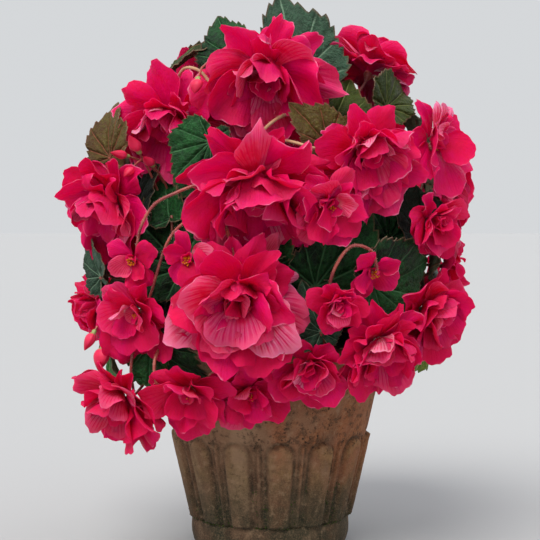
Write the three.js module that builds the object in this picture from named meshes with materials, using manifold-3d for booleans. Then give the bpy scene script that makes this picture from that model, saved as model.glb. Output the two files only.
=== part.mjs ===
// A trailing tuberous begonia in bloom, in a terracotta pot with a band of raised lobes.
// Millimetres, +Z up. The origin is the centre of the pot's foot, on the surface that it stands on.
// The side of the plant that is seen first looks along -Y, and +X is to its right.

import * as THREE from 'three';
import { mergeVertices } from 'three/addons/utils/BufferGeometryUtils.js';
import Module from 'manifold-3d';

const wasm = await Module();
wasm.setup();

// ---------------------------------------------------------------- driving dimensions

const TOUCH = 0.3; // gap left between pieces that touch

const POT = {
  height: 200,
  footRadius: 68,
  footHeight: 24,
  footBulge: 71,
  wallFootRadius: 69.5,
  wallTopRadius: 104,
  wallTopHeight: 174,
  bead: 3.5,
  rimRadius: 110,
  rimHeight: 18,
  wall: 9,
  floor: 12,
  drainRadius: 8,
  sides: 42,
};

const LOBES = {
  count: 14,
  bottom: POT.footHeight + 2,
  height: 74,
  footWidth: 19,
  headWidth: 23,
  proud: 4,
  chamfer: 3,
  turn: 6, // degrees from the front to the nearest lobe
  sunk: 5,
  ribWidth: 3.4,
  ribProud: 1.6,
};

const SOIL = { top: 180, sides: 21, dome: 3, clear: 1.2 };
const STEM_HOLE = { radius: 6.4, sides: 6, height: 50 };

const STEM = { radius: 4.2, sides: 5, steps: 6 };
const PETIOLE = { width: 3.2, thick: 2.6, rings: [0, 0.45, 0.86, 1], rise: 0.5, back: 0.12, arch: 0.4 };
const FLOWER_STALK = { radius: 1.7, sides: 3, steps: 3, back: 0.16, arch: 0.4 };
const BUD = { sides: 5, flat: 0.62 };

const PETAL_THICK = 0.9;
const LEAF_THICK = 0.9;

// ---------------------------------------------------------------- where things are

// A stem leaves the soil at an azimuth, in degrees to the right of the front, and runs through
// points [reach from the axis, height]. Its first stretch stands upright in its hole.
const TRAILING = [[20, 148], [20, 186], [48, 230], [86, 246], [114, 224], [123, 188]];
const STEMS = {
  crown: { azimuth: 0, route: [[2, 148], [2, 180], [5, 240], [13, 310], [24, 366]] },
  front: { azimuth: 2, route: TRAILING },
  front_right: { azimuth: 40, route: TRAILING },
  right: { azimuth: 80, route: TRAILING },
  back_right: { azimuth: 124, route: TRAILING },
  back: { azimuth: 168, route: TRAILING },
  back_left: { azimuth: 212, route: TRAILING },
  left: { azimuth: 256, route: TRAILING },
  front_left: { azimuth: 300, route: TRAILING },
};

// A bloom's core has eight facets round each of its whorls, and a petal grows from some of them.
const CORE = { facets: 8, waist: 0.13, waistHeight: 0.13, whorlHeight: 0.06, taper: 0.1 };
const CROSS = [0, 2, 4, 6];
const DIAGONAL = [1, 3, 5, 7];

// A whorl of petals: its facets, the petals' length as a share of the bloom's radius, how far they
// lean out from the bloom's axis at root, middle and tip, and how far their margins reach round that
// axis to each side, at each row of points, all in degrees.
const FORMS = {
  double: [
    { facets: CROSS, length: 1.0, lean: [64, 90, 104], spread: [44, 34] },
    { facets: DIAGONAL, length: 0.9, lean: [38, 64, 82], spread: [42, 33] },
    { facets: [0, 3, 5], length: 0.66, lean: [12, 36], spread: [38] },
  ],
  rosette: [
    { facets: CROSS, length: 1.0, lean: [62, 80, 90], spread: [44, 36] },
    { facets: DIAGONAL, length: 0.85, lean: [34, 54], spread: [36] },
    { facets: [0, 4], length: 0.66, lean: [4, 20], spread: [44] },
  ],
  half: [
    { facets: CROSS, length: 1.0, lean: [60, 86, 98], spread: [44, 36] },
    { facets: [1, 4, 7], length: 0.8, lean: [32, 62], spread: [36] },
  ],
  single: [{ facets: CROSS, length: 1.0, lean: [58, 82, 94], spread: [40, 36] }],
};

// Where the rows of a petal's points lie along it, how far its margins are cupped and waved, as shares
// of its length, and how much farther out each petal of a whorl leans than the one before it.
const PETAL = { twoRows: [0.42, 0.4, 0.18], oneRow: [0.62, 0.38], cup: 0.03, wave: 0.05, step: 6 };

// Blooms: name, stem, form, radius, middle [x, y, z], facing [azimuth, lift above level], turn.
const BLOOMS = [
  ['bloom_top', 'crown', 'double', 54, [-4, -94, 404], [-5, 15], 0],
  ['bloom_top_left', 'crown', 'double', 46, [-87, -76, 369], [-25, 8], 40],
  ['bloom_top_right', 'crown', 'double', 38, [90, -22, 424], [125, 60], 20],
  ['bloom_centre_high', 'front', 'double', 53, [-10, -152, 312], [0, -8], 45],
  ['bloom_centre_low', 'front', 'double', 49, [-24, -164, 222], [-4, 4], 10],
  ['bloom_heart', 'front', 'half', 31, [49, -164, 298], [12, -5], 30],
  ['bloom_right_high', 'front_right', 'double', 41, [79, -128, 341], [22, 12], 20],
  ['bloom_right_edge', 'right', 'half', 42, [144, -80, 352], [54, 10], 0],
  ['bloom_right_rosette', 'right', 'rosette', 32, [136, -104, 284], [46, -8], 50],
  ['bloom_left_edge', 'left', 'double', 42, [-138, -92, 300], [-48, -4], 30],
  ['bloom_left_small', 'front_left', 'single', 22, [-112, -132, 256], [-22, -12], 0],
  ['bloom_left_low', 'front_left', 'half', 36, [-112, -128, 210], [-34, -12], 60],
  ['bloom_left_inner', 'front_left', 'single', 23, [-66, -146, 258], [-16, 2], 20],
  ['bloom_right_bud', 'front', 'rosette', 23, [53, -161, 221], [10, -12], 0],
  ['bloom_right_nodding', 'front_right', 'single', 24, [84, -144, 246], [30, -25], 40],
  ['bloom_right_low', 'front_right', 'double', 38, [90, -140, 184], [24, -16], 15],
  ['bloom_right_lower', 'right', 'double', 39, [136, -96, 208], [52, -14], 55],
  ['bloom_rim_middle', 'front', 'rosette', 32, [32, -144, 168], [6, -18], 30],
  ['bloom_rim_left', 'front', 'half', 35, [-66, -140, 145], [-16, -22], 0],
  ['bloom_rim_centre', 'front', 'half', 30, [-16, -132, 146], [4, -16], 35],
  ['bloom_trailing_left', 'front_left', 'double', 40, [-126, -112, 136], [-46, -24], 25],
  ['bloom_right_side', 'right', 'half', 28, [158, -44, 248], [72, -8], 10],
  ['bloom_side_high', 'crown', 'half', 40, [98, 42, 384], [110, 22], 15],
  ['bloom_back_top', 'crown', 'double', 46, [14, 92, 404], [172, 24], 50],
  ['bloom_back_top_left', 'crown', 'half', 44, [-84, 34, 392], [-112, 24], 5],
  ['bloom_side_right', 'right', 'double', 44, [156, 24, 312], [98, 6], 35],
  ['bloom_back_right', 'back_right', 'double', 46, [112, 110, 302], [135, 4], 20],
  ['bloom_back', 'back', 'double', 49, [18, 160, 306], [174, 4], 60],
  ['bloom_back_left', 'back_left', 'half', 46, [-84, 132, 304], [-148, 6], 0],
  ['bloom_side_left', 'left', 'half', 47, [-154, 24, 308], [-98, 4], 45],
  ['bloom_low_right', 'back_right', 'half', 38, [154, 40, 212], [104, -12], 30],
  ['bloom_low_back_right', 'back_right', 'rosette', 34, [92, 126, 204], [144, -12], 10],
  ['bloom_low_back', 'back', 'half', 37, [10, 164, 206], [176, -12], 25],
  ['bloom_low_back_left', 'back_left', 'half', 39, [-84, 134, 200], [-148, -14], 50],
  ['bloom_low_left', 'left', 'half', 39, [-154, 36, 206], [-102, -14], 15],
  ['bloom_low_side_left', 'left', 'rosette', 31, [-154, -50, 211], [-74, -12], 40],
];

// Leaves: stem, length, middle [x, y, z], facing [azimuth, lift], clock angle of the tip, larger side.
const LEAVES = [
  ['crown', 84, [16, -38, 448], [4, 12], -8, 1],
  ['crown', 56, [-38, -44, 446], [-20, 20], -30, -1],
  ['crown', 58, [60, -68, 388], [10, 20], 25, 1],
  ['crown', 50, [112, -58, 396], [40, 20], 60, -1],
  ['crown', 80, [40, 34, 446], [134, 50], 20, 1],
  ['crown', 84, [-40, 52, 444], [-146, 48], -30, -1],
  ['crown', 64, [-72, -26, 434], [-76, 44], 20, 1],
  ['left', 56, [-140, -62, 366], [-40, 10], -20, 1],
  ['front', 48, [34, -122, 366], [10, 5], -40, 1],
  ['front_left', 60, [-58, -116, 328], [-25, 0], 200, 1],
  ['front_left', 84, [-84, -92, 286], [-30, 5], -20, -1],
  ['front_left', 84, [-44, -116, 268], [-15, 5], -60, 1],
  ['front_right', 82, [60, -118, 264], [15, 0], 40, 1],
  ['front_right', 72, [112, -106, 244], [35, -5], 75, -1],
  ['right', 76, [104, -72, 306], [40, 5], 10, 1],
  ['front', 44, [34, -142, 219], [0, 0], -20, -1],
  ['front_left', 60, [-77, -120, 172], [-20, -15], 130, 1],
  ['left', 48, [-152, -66, 258], [-60, -5], -40, 1],
  ['right', 88, [144, -14, 266], [84, 0], 60, 1],
  ['back_right', 84, [134, 66, 250], [116, 0], -60, -1],
  ['back', 86, [70, 126, 246], [152, 0], -60, -1],
  ['back_left', 92, [-34, 142, 256], [-165, 0], 50, 1],
  ['back_left', 88, [-116, 92, 254], [-130, 0], -70, -1],
  ['left', 56, [-150, -12, 250], [-92, 0], 66, 1],
  ['right', 80, [132, -16, 356], [84, 10], 30, -1],
  ['back_right', 88, [84, 108, 352], [145, 10], -40, 1],
  ['back_left', 88, [-44, 126, 350], [-165, 10], 30, -1],
  ['left', 84, [-120, 66, 358], [-118, 10], -40, 1],
  ['back_right', 70, [110, 84, 162], [128, -20], 150, 1],
  ['back', 70, [-20, 138, 156], [-172, -20], 200, -1],
  ['left', 58, [-136, -22, 156], [-82, -20], 160, 1],
  ['right', 64, [132, -30, 168], [78, -20], 200, -1],
];

// Flower buds that hang in pairs: stem, length, middle [x, y, z], direction of the tip [azimuth, lift].
const BUDS = [
  ['front_left', 24, [-140, -100, 176], [-30, -70]],
  ['front_left', 20, [-150, -96, 190], [-60, -60]],
  ['front_left', 20, [-112, -96, 352], [-40, 50]],
  ['front_left', 16, [-100, -100, 338], [-30, 30]],
  ['crown', 18, [-44, -92, 436], [-10, 70]],
  ['back', 22, [14, 148, 258], [170, -60]],
];

// ---------------------------------------------------------------- shaping tools

/** Repeatable random numbers from 0 to 1. */
function seeded(seed) {
  let state = seed >>> 0;
  return () => {
    state = (state + 0x6d2b79f5) >>> 0;
    let t = Math.imul(state ^ (state >>> 15), state | 1);
    t ^= t + Math.imul(t ^ (t >>> 7), t | 61);
    return ((t ^ (t >>> 14)) >>> 0) / 4294967296;
  };
}

const radians = THREE.MathUtils.degToRad;

/** The unit vector that looks out at an azimuth, to the right of the front, and a lift above level. */
function outward([azimuth, lift]) {
  const level = Math.cos(radians(lift));
  return new THREE.Vector3(
    Math.sin(radians(azimuth)) * level,
    -Math.cos(radians(azimuth)) * level,
    Math.sin(radians(lift)),
  );
}

/** The turn that takes +Z to a facing and +Y to a clock angle, seen by someone whom it faces. */
function facingTurn(facing, clock) {
  const face = outward(facing);
  const right = new THREE.Vector3(0, 0, 1).cross(face).normalize();
  const up = new THREE.Vector3().crossVectors(face, right);
  const tip = up.multiplyScalar(Math.cos(radians(clock))).addScaledVector(right, Math.sin(radians(clock)));
  const side = new THREE.Vector3().crossVectors(tip, face);
  return new THREE.Quaternion().setFromRotationMatrix(new THREE.Matrix4().makeBasis(side, tip, face));
}

/** A closed mesh as a solid that can be joined and cut. */
function solidOf(geometry) {
  const bare = geometry.clone();
  bare.deleteAttribute('normal');
  bare.deleteAttribute('uv');
  const merged = mergeVertices(bare, 1e-4);
  return new wasm.Manifold(new wasm.Mesh({
    numProp: 3,
    vertProperties: new Float32Array(merged.attributes.position.array),
    triVerts: new Uint32Array(merged.index.array),
  }));
}

/** A solid as a mesh's geometry. */
function geometryOf(solid) {
  const { vertProperties, triVerts } = solid.getMesh();
  const geometry = new THREE.BufferGeometry();
  geometry.setAttribute('position', new THREE.BufferAttribute(vertProperties, 3));
  geometry.setIndex(new THREE.BufferAttribute(triVerts, 1));
  geometry.computeVertexNormals();
  return geometry;
}

/** Joins closed meshes into one. */
function fuse(geometries) {
  return geometryOf(geometries.map(solidOf).reduce((whole, piece) => whole.add(piece)));
}

/** A solid turned about +Z from a profile of [radius, height] points. */
function turned(profile, sides) {
  const points = profile.map(([radius, height]) => new THREE.Vector2(radius, height));
  return new THREE.LatheGeometry(points, sides).rotateX(Math.PI / 2);
}

/** A round rod of a few sides along a curve. */
function rod(curve, radius, sides, steps) {
  const ring = Array.from({ length: sides }, (_, i) => {
    const angle = (2 * Math.PI * i) / sides;
    return new THREE.Vector2(radius * Math.cos(angle), radius * Math.sin(angle));
  });
  const section = new THREE.Shape(ring);
  return new THREE.ExtrudeGeometry(section, { steps, bevelEnabled: false, extrudePath: curve });
}

/** A closed surface that is built ring by ring. A ring runs counter-clockwise, seen from ahead. */
class Skin {
  points = [];
  faces = [];

  /** Adds points and returns their numbers. */
  ring(points) {
    const first = this.points.length;
    this.points.push(...points);
    return points.map((_, i) => first + i);
  }

  /** A flat face with any number of corners. */
  face(...corners) {
    for (let i = 2; i < corners.length; i += 1) this.faces.push([corners[0], corners[i - 1], corners[i]]);
  }

  /** Four-sided faces from one ring to the next, except where an edge of the ring is skipped. */
  band(from, to, skipped = []) {
    from.forEach((corner, i) => {
      const next = (i + 1) % from.length;
      if (!skipped.includes(i)) this.face(corner, from[next], to[next], to[i]);
    });
  }

  /**
   * A thin blade that grows from a root of four corners: [right upper, right lower, left lower,
   * left upper]. Each row is { right, middle, left, up }, with `up` out of the upper face. Both
   * faces are split into triangles alike.
   */
  blade(root, rows, tip, thick) {
    const ring = ({ right, middle, left, up }) => {
      const above = (point) => point.clone().addScaledVector(up, thick / 2);
      const below = (point) => point.clone().addScaledVector(up, -thick / 2);
      return this.ring([
        above(right), below(right), below(middle), below(left), above(left), above(middle),
      ]);
    };
    const rings = rows.map(ring);
    const [rootRU, rootRL, rootLL, rootLU] = root;
    const [firstRU, firstRL, firstML, firstLL, firstLU, firstMU] = rings[0];
    this.face(rootRU, rootRL, firstRL, firstRU);
    this.face(firstML, firstRL, rootRL, rootLL, firstLL);
    this.face(rootLL, rootLU, firstLU, firstLL);
    this.face(firstMU, firstLU, rootLU, rootRU, firstRU);
    for (let i = 1; i < rings.length; i += 1) {
      const [ru, rl, ml, ll, lu, mu] = rings[i - 1];
      const [RU, RL, ML, LL, LU, MU] = rings[i];
      this.face(ru, rl, RL, RU);
      this.face(ml, ML, RL, rl);
      this.face(ml, ll, LL, ML);
      this.face(ll, lu, LU, LL);
      this.face(mu, MU, LU, lu);
      this.face(mu, ru, RU, MU);
    }
    const [end] = this.ring([tip]);
    rings.at(-1).forEach((corner, i, last) => this.face(corner, last[(i + 1) % last.length], end));
  }

  geometry() {
    return new THREE.BufferGeometry().setFromPoints(this.points).setIndex(this.faces.flat());
  }
}

// ---------------------------------------------------------------- the pot

/** The radius of the pot's outside wall at a height. */
function wallRadius(height) {
  const share = (height - POT.footHeight) / (POT.wallTopHeight - POT.footHeight);
  return POT.wallFootRadius + share * (POT.wallTopRadius - POT.wallFootRadius);
}

/** The pot's plain body, as a solid with a drain hole. */
function potBody() {
  const rimBottom = POT.height - POT.rimHeight;
  const body = turned([
    [0, 0],
    [POT.footRadius, 0],
    [POT.footBulge, POT.footHeight * 0.6],
    [POT.footBulge - 1, POT.footHeight],
    [POT.wallFootRadius, POT.footHeight + 1],
    [POT.wallTopRadius, POT.wallTopHeight],
    [POT.wallTopRadius + POT.bead, POT.wallTopHeight + POT.bead],
    [POT.wallTopRadius + 1, rimBottom],
    [POT.rimRadius, rimBottom + 2],
    [POT.rimRadius + 1, POT.height - 2],
    [POT.rimRadius - 2, POT.height],
    [POT.rimRadius - POT.wall, POT.height],
    [wallRadius(POT.floor) - POT.wall, POT.floor],
    [0, POT.floor],
  ], POT.sides);
  const drain = new THREE.CylinderGeometry(POT.drainRadius, POT.drainRadius, 3 * POT.floor, 8);
  return solidOf(body).subtract(solidOf(drain.rotateX(Math.PI / 2)));
}

/** Places a shape drawn flat, with y up and z out, on the pot's sloping wall. */
function onWall(geometry, azimuth) {
  const slope = Math.atan2(POT.wallTopRadius - POT.wallFootRadius, POT.wallTopHeight - POT.footHeight);
  const facetFall = wallRadius(LOBES.bottom) * (1 - Math.cos(Math.PI / POT.sides));
  return geometry
    .rotateX(Math.PI / 2 + slope)
    .translate(0, -(wallRadius(LOBES.bottom) - facetFall), LOBES.bottom)
    .rotateZ(azimuth);
}

/** One raised lobe: a tongue with a round head, whose face is smaller than its foot on the wall. */
function lobe() {
  const { height, footWidth, headWidth, proud, chamfer, sunk } = LOBES;
  const shoulder = height - headWidth / 2;
  const outline = new THREE.Shape();
  outline.moveTo(-footWidth / 2, 0);
  outline.lineTo(footWidth / 2, 0);
  outline.absarc(0, shoulder, headWidth / 2, 0, Math.PI, false);
  const shape = { depth: proud + sunk, bevelEnabled: false, curveSegments: 3 };
  const tongue = new THREE.ExtrudeGeometry(outline, shape);
  const corners = tongue.attributes.position;
  for (let i = 0; i < corners.count; i += 1) {
    if (corners.getZ(i) < proud) continue;
    corners.setX(i, corners.getX(i) * (1 - (2 * chamfer) / headWidth));
    corners.setY(i, height / 2 + (corners.getY(i) - height / 2) * (1 - (2 * chamfer) / height));
  }
  return tongue.translate(0, 0, -sunk);
}

/** The thin fillet between two lobes. */
function rib() {
  const { height, ribWidth, ribProud, sunk } = LOBES;
  const bar = new THREE.BoxGeometry(ribWidth, height - 6, ribProud + sunk);
  return bar.translate(0, height / 2, (ribProud - sunk) / 2);
}

function pot() {
  const pitch = (2 * Math.PI) / LOBES.count;
  const reliefs = Array.from({ length: LOBES.count }, (_, i) => [
    onWall(lobe(), i * pitch),
    onWall(rib(), (i + 0.5) * pitch),
  ]);
  const solid = reliefs.flat().map(solidOf).reduce((whole, relief) => whole.add(relief), potBody());
  return geometryOf(solid).rotateZ(radians(LOBES.turn));
}

// ---------------------------------------------------------------- the soil

/** A plain upright hole for a stem, from just under the stem's foot. */
function stemHole({ azimuth, route }) {
  const [reach, foot] = route[0];
  const { x, y } = outward([azimuth, 0]).multiplyScalar(reach);
  const { radius, sides, height } = STEM_HOLE;
  return new THREE.CylinderGeometry(radius, radius, height, sides)
    .rotateX(Math.PI / 2)
    .translate(x, y, foot - TOUCH + height / 2);
}

/** The soil, with a plain hole for each stem. */
function soil() {
  const insideTop = POT.rimRadius - POT.wall;
  const insideBottom = wallRadius(POT.floor) - POT.wall;
  const share = (SOIL.top - POT.floor) / (POT.height - POT.floor);
  const topRadius = insideBottom + share * (insideTop - insideBottom) - SOIL.clear;
  const filling = turned([
    [0, POT.floor + TOUCH],
    [insideBottom - SOIL.clear, POT.floor + TOUCH],
    [topRadius, SOIL.top],
    [topRadius * 0.6, SOIL.top + SOIL.dome],
    [0, SOIL.top + SOIL.dome],
  ], SOIL.sides);
  const holes = Object.values(STEMS).map(stemHole);
  return geometryOf(holes.map(solidOf).reduce((filled, hole) => filled.subtract(hole), solidOf(filling)));
}

// ---------------------------------------------------------------- blooms

/**
 * Grows one petal from four corners of the core. Its rows of points lie on a cone round the bloom's
 * axis, so that petals that lean differently lie in each other and don't cross.
 */
function petal(skin, root, whorl, angle, start, radius, flare, random) {
  const length = whorl.length * radius * (0.94 + 0.12 * random());
  const wave = PETAL.wave * length * (random() - 0.5);
  const outAt = (turn) => new THREE.Vector3(Math.cos(angle - turn), Math.sin(angle - turn), 0);
  const shares = whorl.spread.length === 2 ? PETAL.twoRows : PETAL.oneRow;
  const lean = (i) => radians(whorl.lean[i] + flare);
  let reach = Math.hypot(start.x, start.y);
  let height = start.z;
  const advance = (i) => {
    reach += shares[i] * length * Math.sin(lean(i));
    height += shares[i] * length * Math.cos(lean(i));
  };
  const rows = whorl.spread.map((spread, i) => {
    advance(i);
    const margin = (sign) => {
      const lift = PETAL.cup * length + sign * wave;
      return outAt(sign * radians(spread)).multiplyScalar(reach).setZ(height + lift);
    };
    return {
      right: margin(1),
      middle: outAt(0).multiplyScalar(reach).setZ(height),
      left: margin(-1),
      up: outAt(0).multiplyScalar(-Math.cos(lean(i))).setZ(Math.sin(lean(i))),
    };
  });
  advance(whorl.spread.length);
  skin.blade(root, rows, outAt(0).multiplyScalar(reach).setZ(height), PETAL_THICK);
}

/** A bloom with its stalk's end at the origin, facing +Z, grown as one surface from its core. */
function bloom(form, radius, seed) {
  const random = seeded(seed);
  const skin = new Skin();
  const step = (2 * Math.PI) / CORE.facets;
  const coreRing = (share, height) => skin.ring(Array.from({ length: CORE.facets }, (_, i) => (
    new THREE.Vector3(share * Math.cos(i * step), share * Math.sin(i * step), height).multiplyScalar(radius)
  )));
  const [foot] = skin.ring([new THREE.Vector3()]);
  let lower = coreRing(CORE.waist, CORE.waistHeight);
  lower.forEach((corner, i) => skin.face(foot, lower[(i + 1) % CORE.facets], corner));
  FORMS[form].forEach((whorl, level) => {
    const height = CORE.waistHeight + (level + 1) * CORE.whorlHeight;
    const upper = coreRing(CORE.waist * (1 - CORE.taper * (level + 1)), height);
    skin.band(lower, upper, whorl.facets);
    whorl.facets.forEach((facet, i) => {
      const next = (facet + 1) % CORE.facets;
      const root = [upper[facet], lower[facet], lower[next], upper[next]];
      const start = new THREE.Vector3();
      root.forEach((corner) => start.addScaledVector(skin.points[corner], 0.25));
      const flare = PETAL.step * (i - (whorl.facets.length - 1) / 2);
      petal(skin, root, whorl, (facet + 0.5) * step, start, radius, flare, random);
    });
    lower = upper;
  });
  skin.face(...lower);
  return skin.geometry();
}

// ---------------------------------------------------------------- leafy stems

// Rows of a leaf: place along the midrib, half width, and how far the margins lie ahead of the
// midrib, as shares of its length. The first row holds the lobes behind the leaf's stalk. After it
// come two teeth a side, each a row for its point and a row for the notch ahead of it.
const LEAF_ROWS = [
  [0.07, 0.3, -0.17],
  [0.28, 0.48, -0.03],
  [0.36, 0.35, 0.02],
  [0.58, 0.37, 0.03],
  [0.68, 0.22, 0.03],
];

/** Grows a leaf blade whose base, tip direction and upper side are given, from the end of its stalk. */
function leafBlade(skin, root, base, tipward, face, length, larger) {
  const side = new THREE.Vector3().crossVectors(tipward, face);
  const place = (across, along, height) => base.clone()
    .addScaledVector(side, across)
    .addScaledVector(tipward, along)
    .addScaledVector(face, height);
  const droop = (along) => length * (0.1 * along - 0.3 * along * along);
  const rows = LEAF_ROWS.map(([along, wide, sweep], i) => {
    const wave = (i % 2 ? 0.03 : -0.02) * length;
    const margin = (sign) => {
      const across = wide * length * (sign === larger ? 1 : 0.72);
      return place(sign * across, (along + sweep) * length, droop(along) + 0.2 * across + wave);
    };
    return { right: margin(1), middle: place(0, along * length, droop(along)), left: margin(-1), up: face };
  });
  skin.blade(root, rows, place(0.04 * length * larger, length, droop(1)), LEAF_THICK);
}

function stemCurve({ azimuth, route }) {
  const out = outward([azimuth, 0]);
  return new THREE.CatmullRomCurve3(route.map(([reach, height]) => (
    out.clone().multiplyScalar(reach).setZ(height)
  )));
}

/** Where a stalk to a point leaves its stem: nearest to the point, then a little nearer the root. */
function leavingPoint(curve, target, back) {
  const samples = Array.from({ length: 21 }, (_, i) => i / 20);
  const distance = (share) => curve.getPoint(share).distanceTo(target);
  const nearest = samples.reduce((best, share) => (distance(share) < distance(best) ? share : best));
  const share = THREE.MathUtils.clamp(nearest - back, 0.2, 0.97);
  return { start: curve.getPoint(share), along: curve.getTangent(share) };
}

/** The path of a stalk that leaves its stem smoothly and arrives at a point in a direction. */
function stalkPath(curve, end, arriving, { back, arch }) {
  const { start, along } = leavingPoint(curve, end, back);
  const reach = start.distanceTo(end) * arch;
  const leaving = along.clone().add(end.clone().sub(start).normalize()).normalize();
  return new THREE.CubicBezierCurve3(
    start,
    start.clone().addScaledVector(leaving, reach),
    end.clone().addScaledVector(arriving, -reach),
    end,
  );
}

function flowerStalk(curve, end, arriving) {
  const { radius, sides, steps } = FLOWER_STALK;
  return rod(stalkPath(curve, end, arriving, FLOWER_STALK), radius, sides, steps);
}

function bloomBase([, , , radius, middle, facing]) {
  return new THREE.Vector3(...middle).addScaledVector(outward(facing), -0.4 * radius);
}

/** A leaf with its stalk, grown as one surface from inside its stem. */
function leaf(curve, [, length, middle, facing, clock, larger]) {
  const turn = facingTurn(facing, clock);
  const tipward = new THREE.Vector3(0, 1, 0).applyQuaternion(turn);
  const face = new THREE.Vector3(0, 0, 1).applyQuaternion(turn);
  const side = new THREE.Vector3(1, 0, 0).applyQuaternion(turn);
  const base = new THREE.Vector3(...middle).addScaledVector(tipward, -0.45 * length);
  const arriving = tipward.clone().addScaledVector(face, PETIOLE.rise).normalize();
  const path = stalkPath(curve, base, arriving, PETIOLE);
  const skin = new Skin();
  const section = (share) => {
    const ahead = path.getTangent(share);
    const across = side.clone().addScaledVector(ahead, -side.dot(ahead)).normalize();
    const up = new THREE.Vector3().crossVectors(across, ahead);
    const corner = (x, z) => path.getPoint(share)
      .addScaledVector(across, (x * PETIOLE.width) / 2)
      .addScaledVector(up, (z * PETIOLE.thick) / 2);
    return skin.ring([corner(1, 1), corner(1, -1), corner(-1, -1), corner(-1, 1)]);
  };
  const rings = PETIOLE.rings.map(section);
  skin.face(...rings[0].slice().reverse());
  rings.slice(1).forEach((ring, i) => skin.band(rings[i], ring));
  leafBlade(skin, rings.at(-1), base, tipward, face, length, larger);
  return skin.geometry();
}

function placedBud(curve, [, length, middle, direction]) {
  const tipward = outward(direction);
  const base = new THREE.Vector3(...middle).addScaledVector(tipward, -0.5 * length);
  const drop = turned([[0, 0], [0.1, 0], [0.3, 0.4], [0.24, 0.75], [0, 1]], BUD.sides)
    .scale(length, length * BUD.flat, length)
    .applyQuaternion(new THREE.Quaternion().setFromUnitVectors(new THREE.Vector3(0, 0, 1), tipward))
    .translate(base.x, base.y, base.z);
  const end = base.clone().addScaledVector(tipward, 0.15 * length);
  return [drop, flowerStalk(curve, end, tipward)];
}

/** One stem with the leaves, flower stalks and buds that grow from it, as one piece. */
function leafyStem(name) {
  const curve = stemCurve(STEMS[name]);
  const grown = (rows) => rows.filter(([stem]) => stem === name);
  const flowerStalks = BLOOMS.filter(([, stem]) => stem === name).map((row) => {
    const facing = outward(row[5]);
    return flowerStalk(curve, bloomBase(row).addScaledVector(facing, -TOUCH), facing);
  });
  return fuse([
    rod(curve, STEM.radius, STEM.sides, STEM.steps),
    ...grown(LEAVES).map((row) => leaf(curve, row)),
    ...grown(BUDS).flatMap((row) => placedBud(curve, row)),
    ...flowerStalks,
  ]);
}

// ---------------------------------------------------------------- the whole plant

const TERRACOTTA = new THREE.MeshStandardMaterial({ color: 0x8a5f48, roughness: 0.9, metalness: 0 });
const POTTING_SOIL = new THREE.MeshStandardMaterial({ color: 0x2b2019, roughness: 1, metalness: 0 });
const LEAF_GREEN = new THREE.MeshStandardMaterial({ color: 0x1f4a30, roughness: 0.5, metalness: 0 });
const PETAL_PINK = new THREE.MeshStandardMaterial({ color: 0xd60f4c, roughness: 0.55, metalness: 0 });

const plant = new THREE.Group();

function addMesh(name, geometry, material) {
  const mesh = new THREE.Mesh(geometry, material);
  mesh.name = name;
  plant.add(mesh);
  return mesh;
}

addMesh('pot', pot(), TERRACOTTA);
addMesh('soil', soil(), POTTING_SOIL);
Object.keys(STEMS).forEach((name) => addMesh(`leafy_stem_${name}`, leafyStem(name), LEAF_GREEN));
BLOOMS.forEach((row, i) => {
  const [name, , form, radius, , facing, turn] = row;
  const mesh = addMesh(name, bloom(form, radius, i + 1), PETAL_PINK);
  mesh.position.copy(bloomBase(row));
  mesh.quaternion.copy(facingTurn(facing, turn));
});

export default plant;
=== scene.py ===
"""A trailing tuberous begonia in bloom, in a weathered terracotta pot with a band of raised lobes.

Metres, +Z up, with the origin in the middle of the pot's foot. Tables and sizes of the plant are in
millimetres, as a gardener would measure it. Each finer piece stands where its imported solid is.
"""

from __future__ import annotations

import logging
import math
from dataclasses import dataclass, field
from enum import Enum, IntEnum
from typing import Any, Callable, Iterable, Sequence

import bpy
import numpy as np
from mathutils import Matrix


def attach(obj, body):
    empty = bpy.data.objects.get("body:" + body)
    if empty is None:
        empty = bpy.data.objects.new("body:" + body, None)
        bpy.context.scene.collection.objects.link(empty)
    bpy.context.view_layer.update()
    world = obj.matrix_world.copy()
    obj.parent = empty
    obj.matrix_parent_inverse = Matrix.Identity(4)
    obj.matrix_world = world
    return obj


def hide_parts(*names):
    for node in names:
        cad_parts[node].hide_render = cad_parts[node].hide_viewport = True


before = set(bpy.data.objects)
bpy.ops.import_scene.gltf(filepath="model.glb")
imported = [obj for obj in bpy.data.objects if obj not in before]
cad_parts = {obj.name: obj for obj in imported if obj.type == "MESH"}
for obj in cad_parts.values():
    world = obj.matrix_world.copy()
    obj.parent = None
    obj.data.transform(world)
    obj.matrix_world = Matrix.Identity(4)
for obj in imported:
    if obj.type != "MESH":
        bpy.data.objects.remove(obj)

LOG = logging.getLogger("begonia")
MM = 0.001

Colour = tuple[float, float, float]
Point = tuple[float, float, float]
Facing = tuple[float, float]
Span = tuple[float, float]

SEAT_DEPTH = 0.4  # how far behind its middle a bloom's stalk ends, as a share of its radius
BLADE_DEPTH = 0.45  # how far below its middle a leaf's stalk ends, as a share of its length
CREASE = 50  # degrees up to which soft pieces are shaded smooth


# ---------------- where things are


class Form(Enum):
    """How full a bloom is."""

    DOUBLE = "double"
    DRAPED = "draped"
    ROSETTE = "rosette"
    HALF = "half"
    SINGLE = "single"


class LeafKind(Enum):
    """The age and colouring of a leaf; a shaded leaf is painted near-black, as painted shade inside the
    plant.
    """

    MATURE = "mature"
    SHADED = "shaded"
    BRONZE = "bronze"
    OLIVE = "olive"
    GREY = "grey"
    BRIGHT = "bright"
    YELLOWING = "yellowing"


class StalkKind(IntEnum):
    """The skin of a stem or stalk, as the number of its material."""

    STEM = 0
    LEAF = 1
    FLOWER = 2
    PALE = 3


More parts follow.
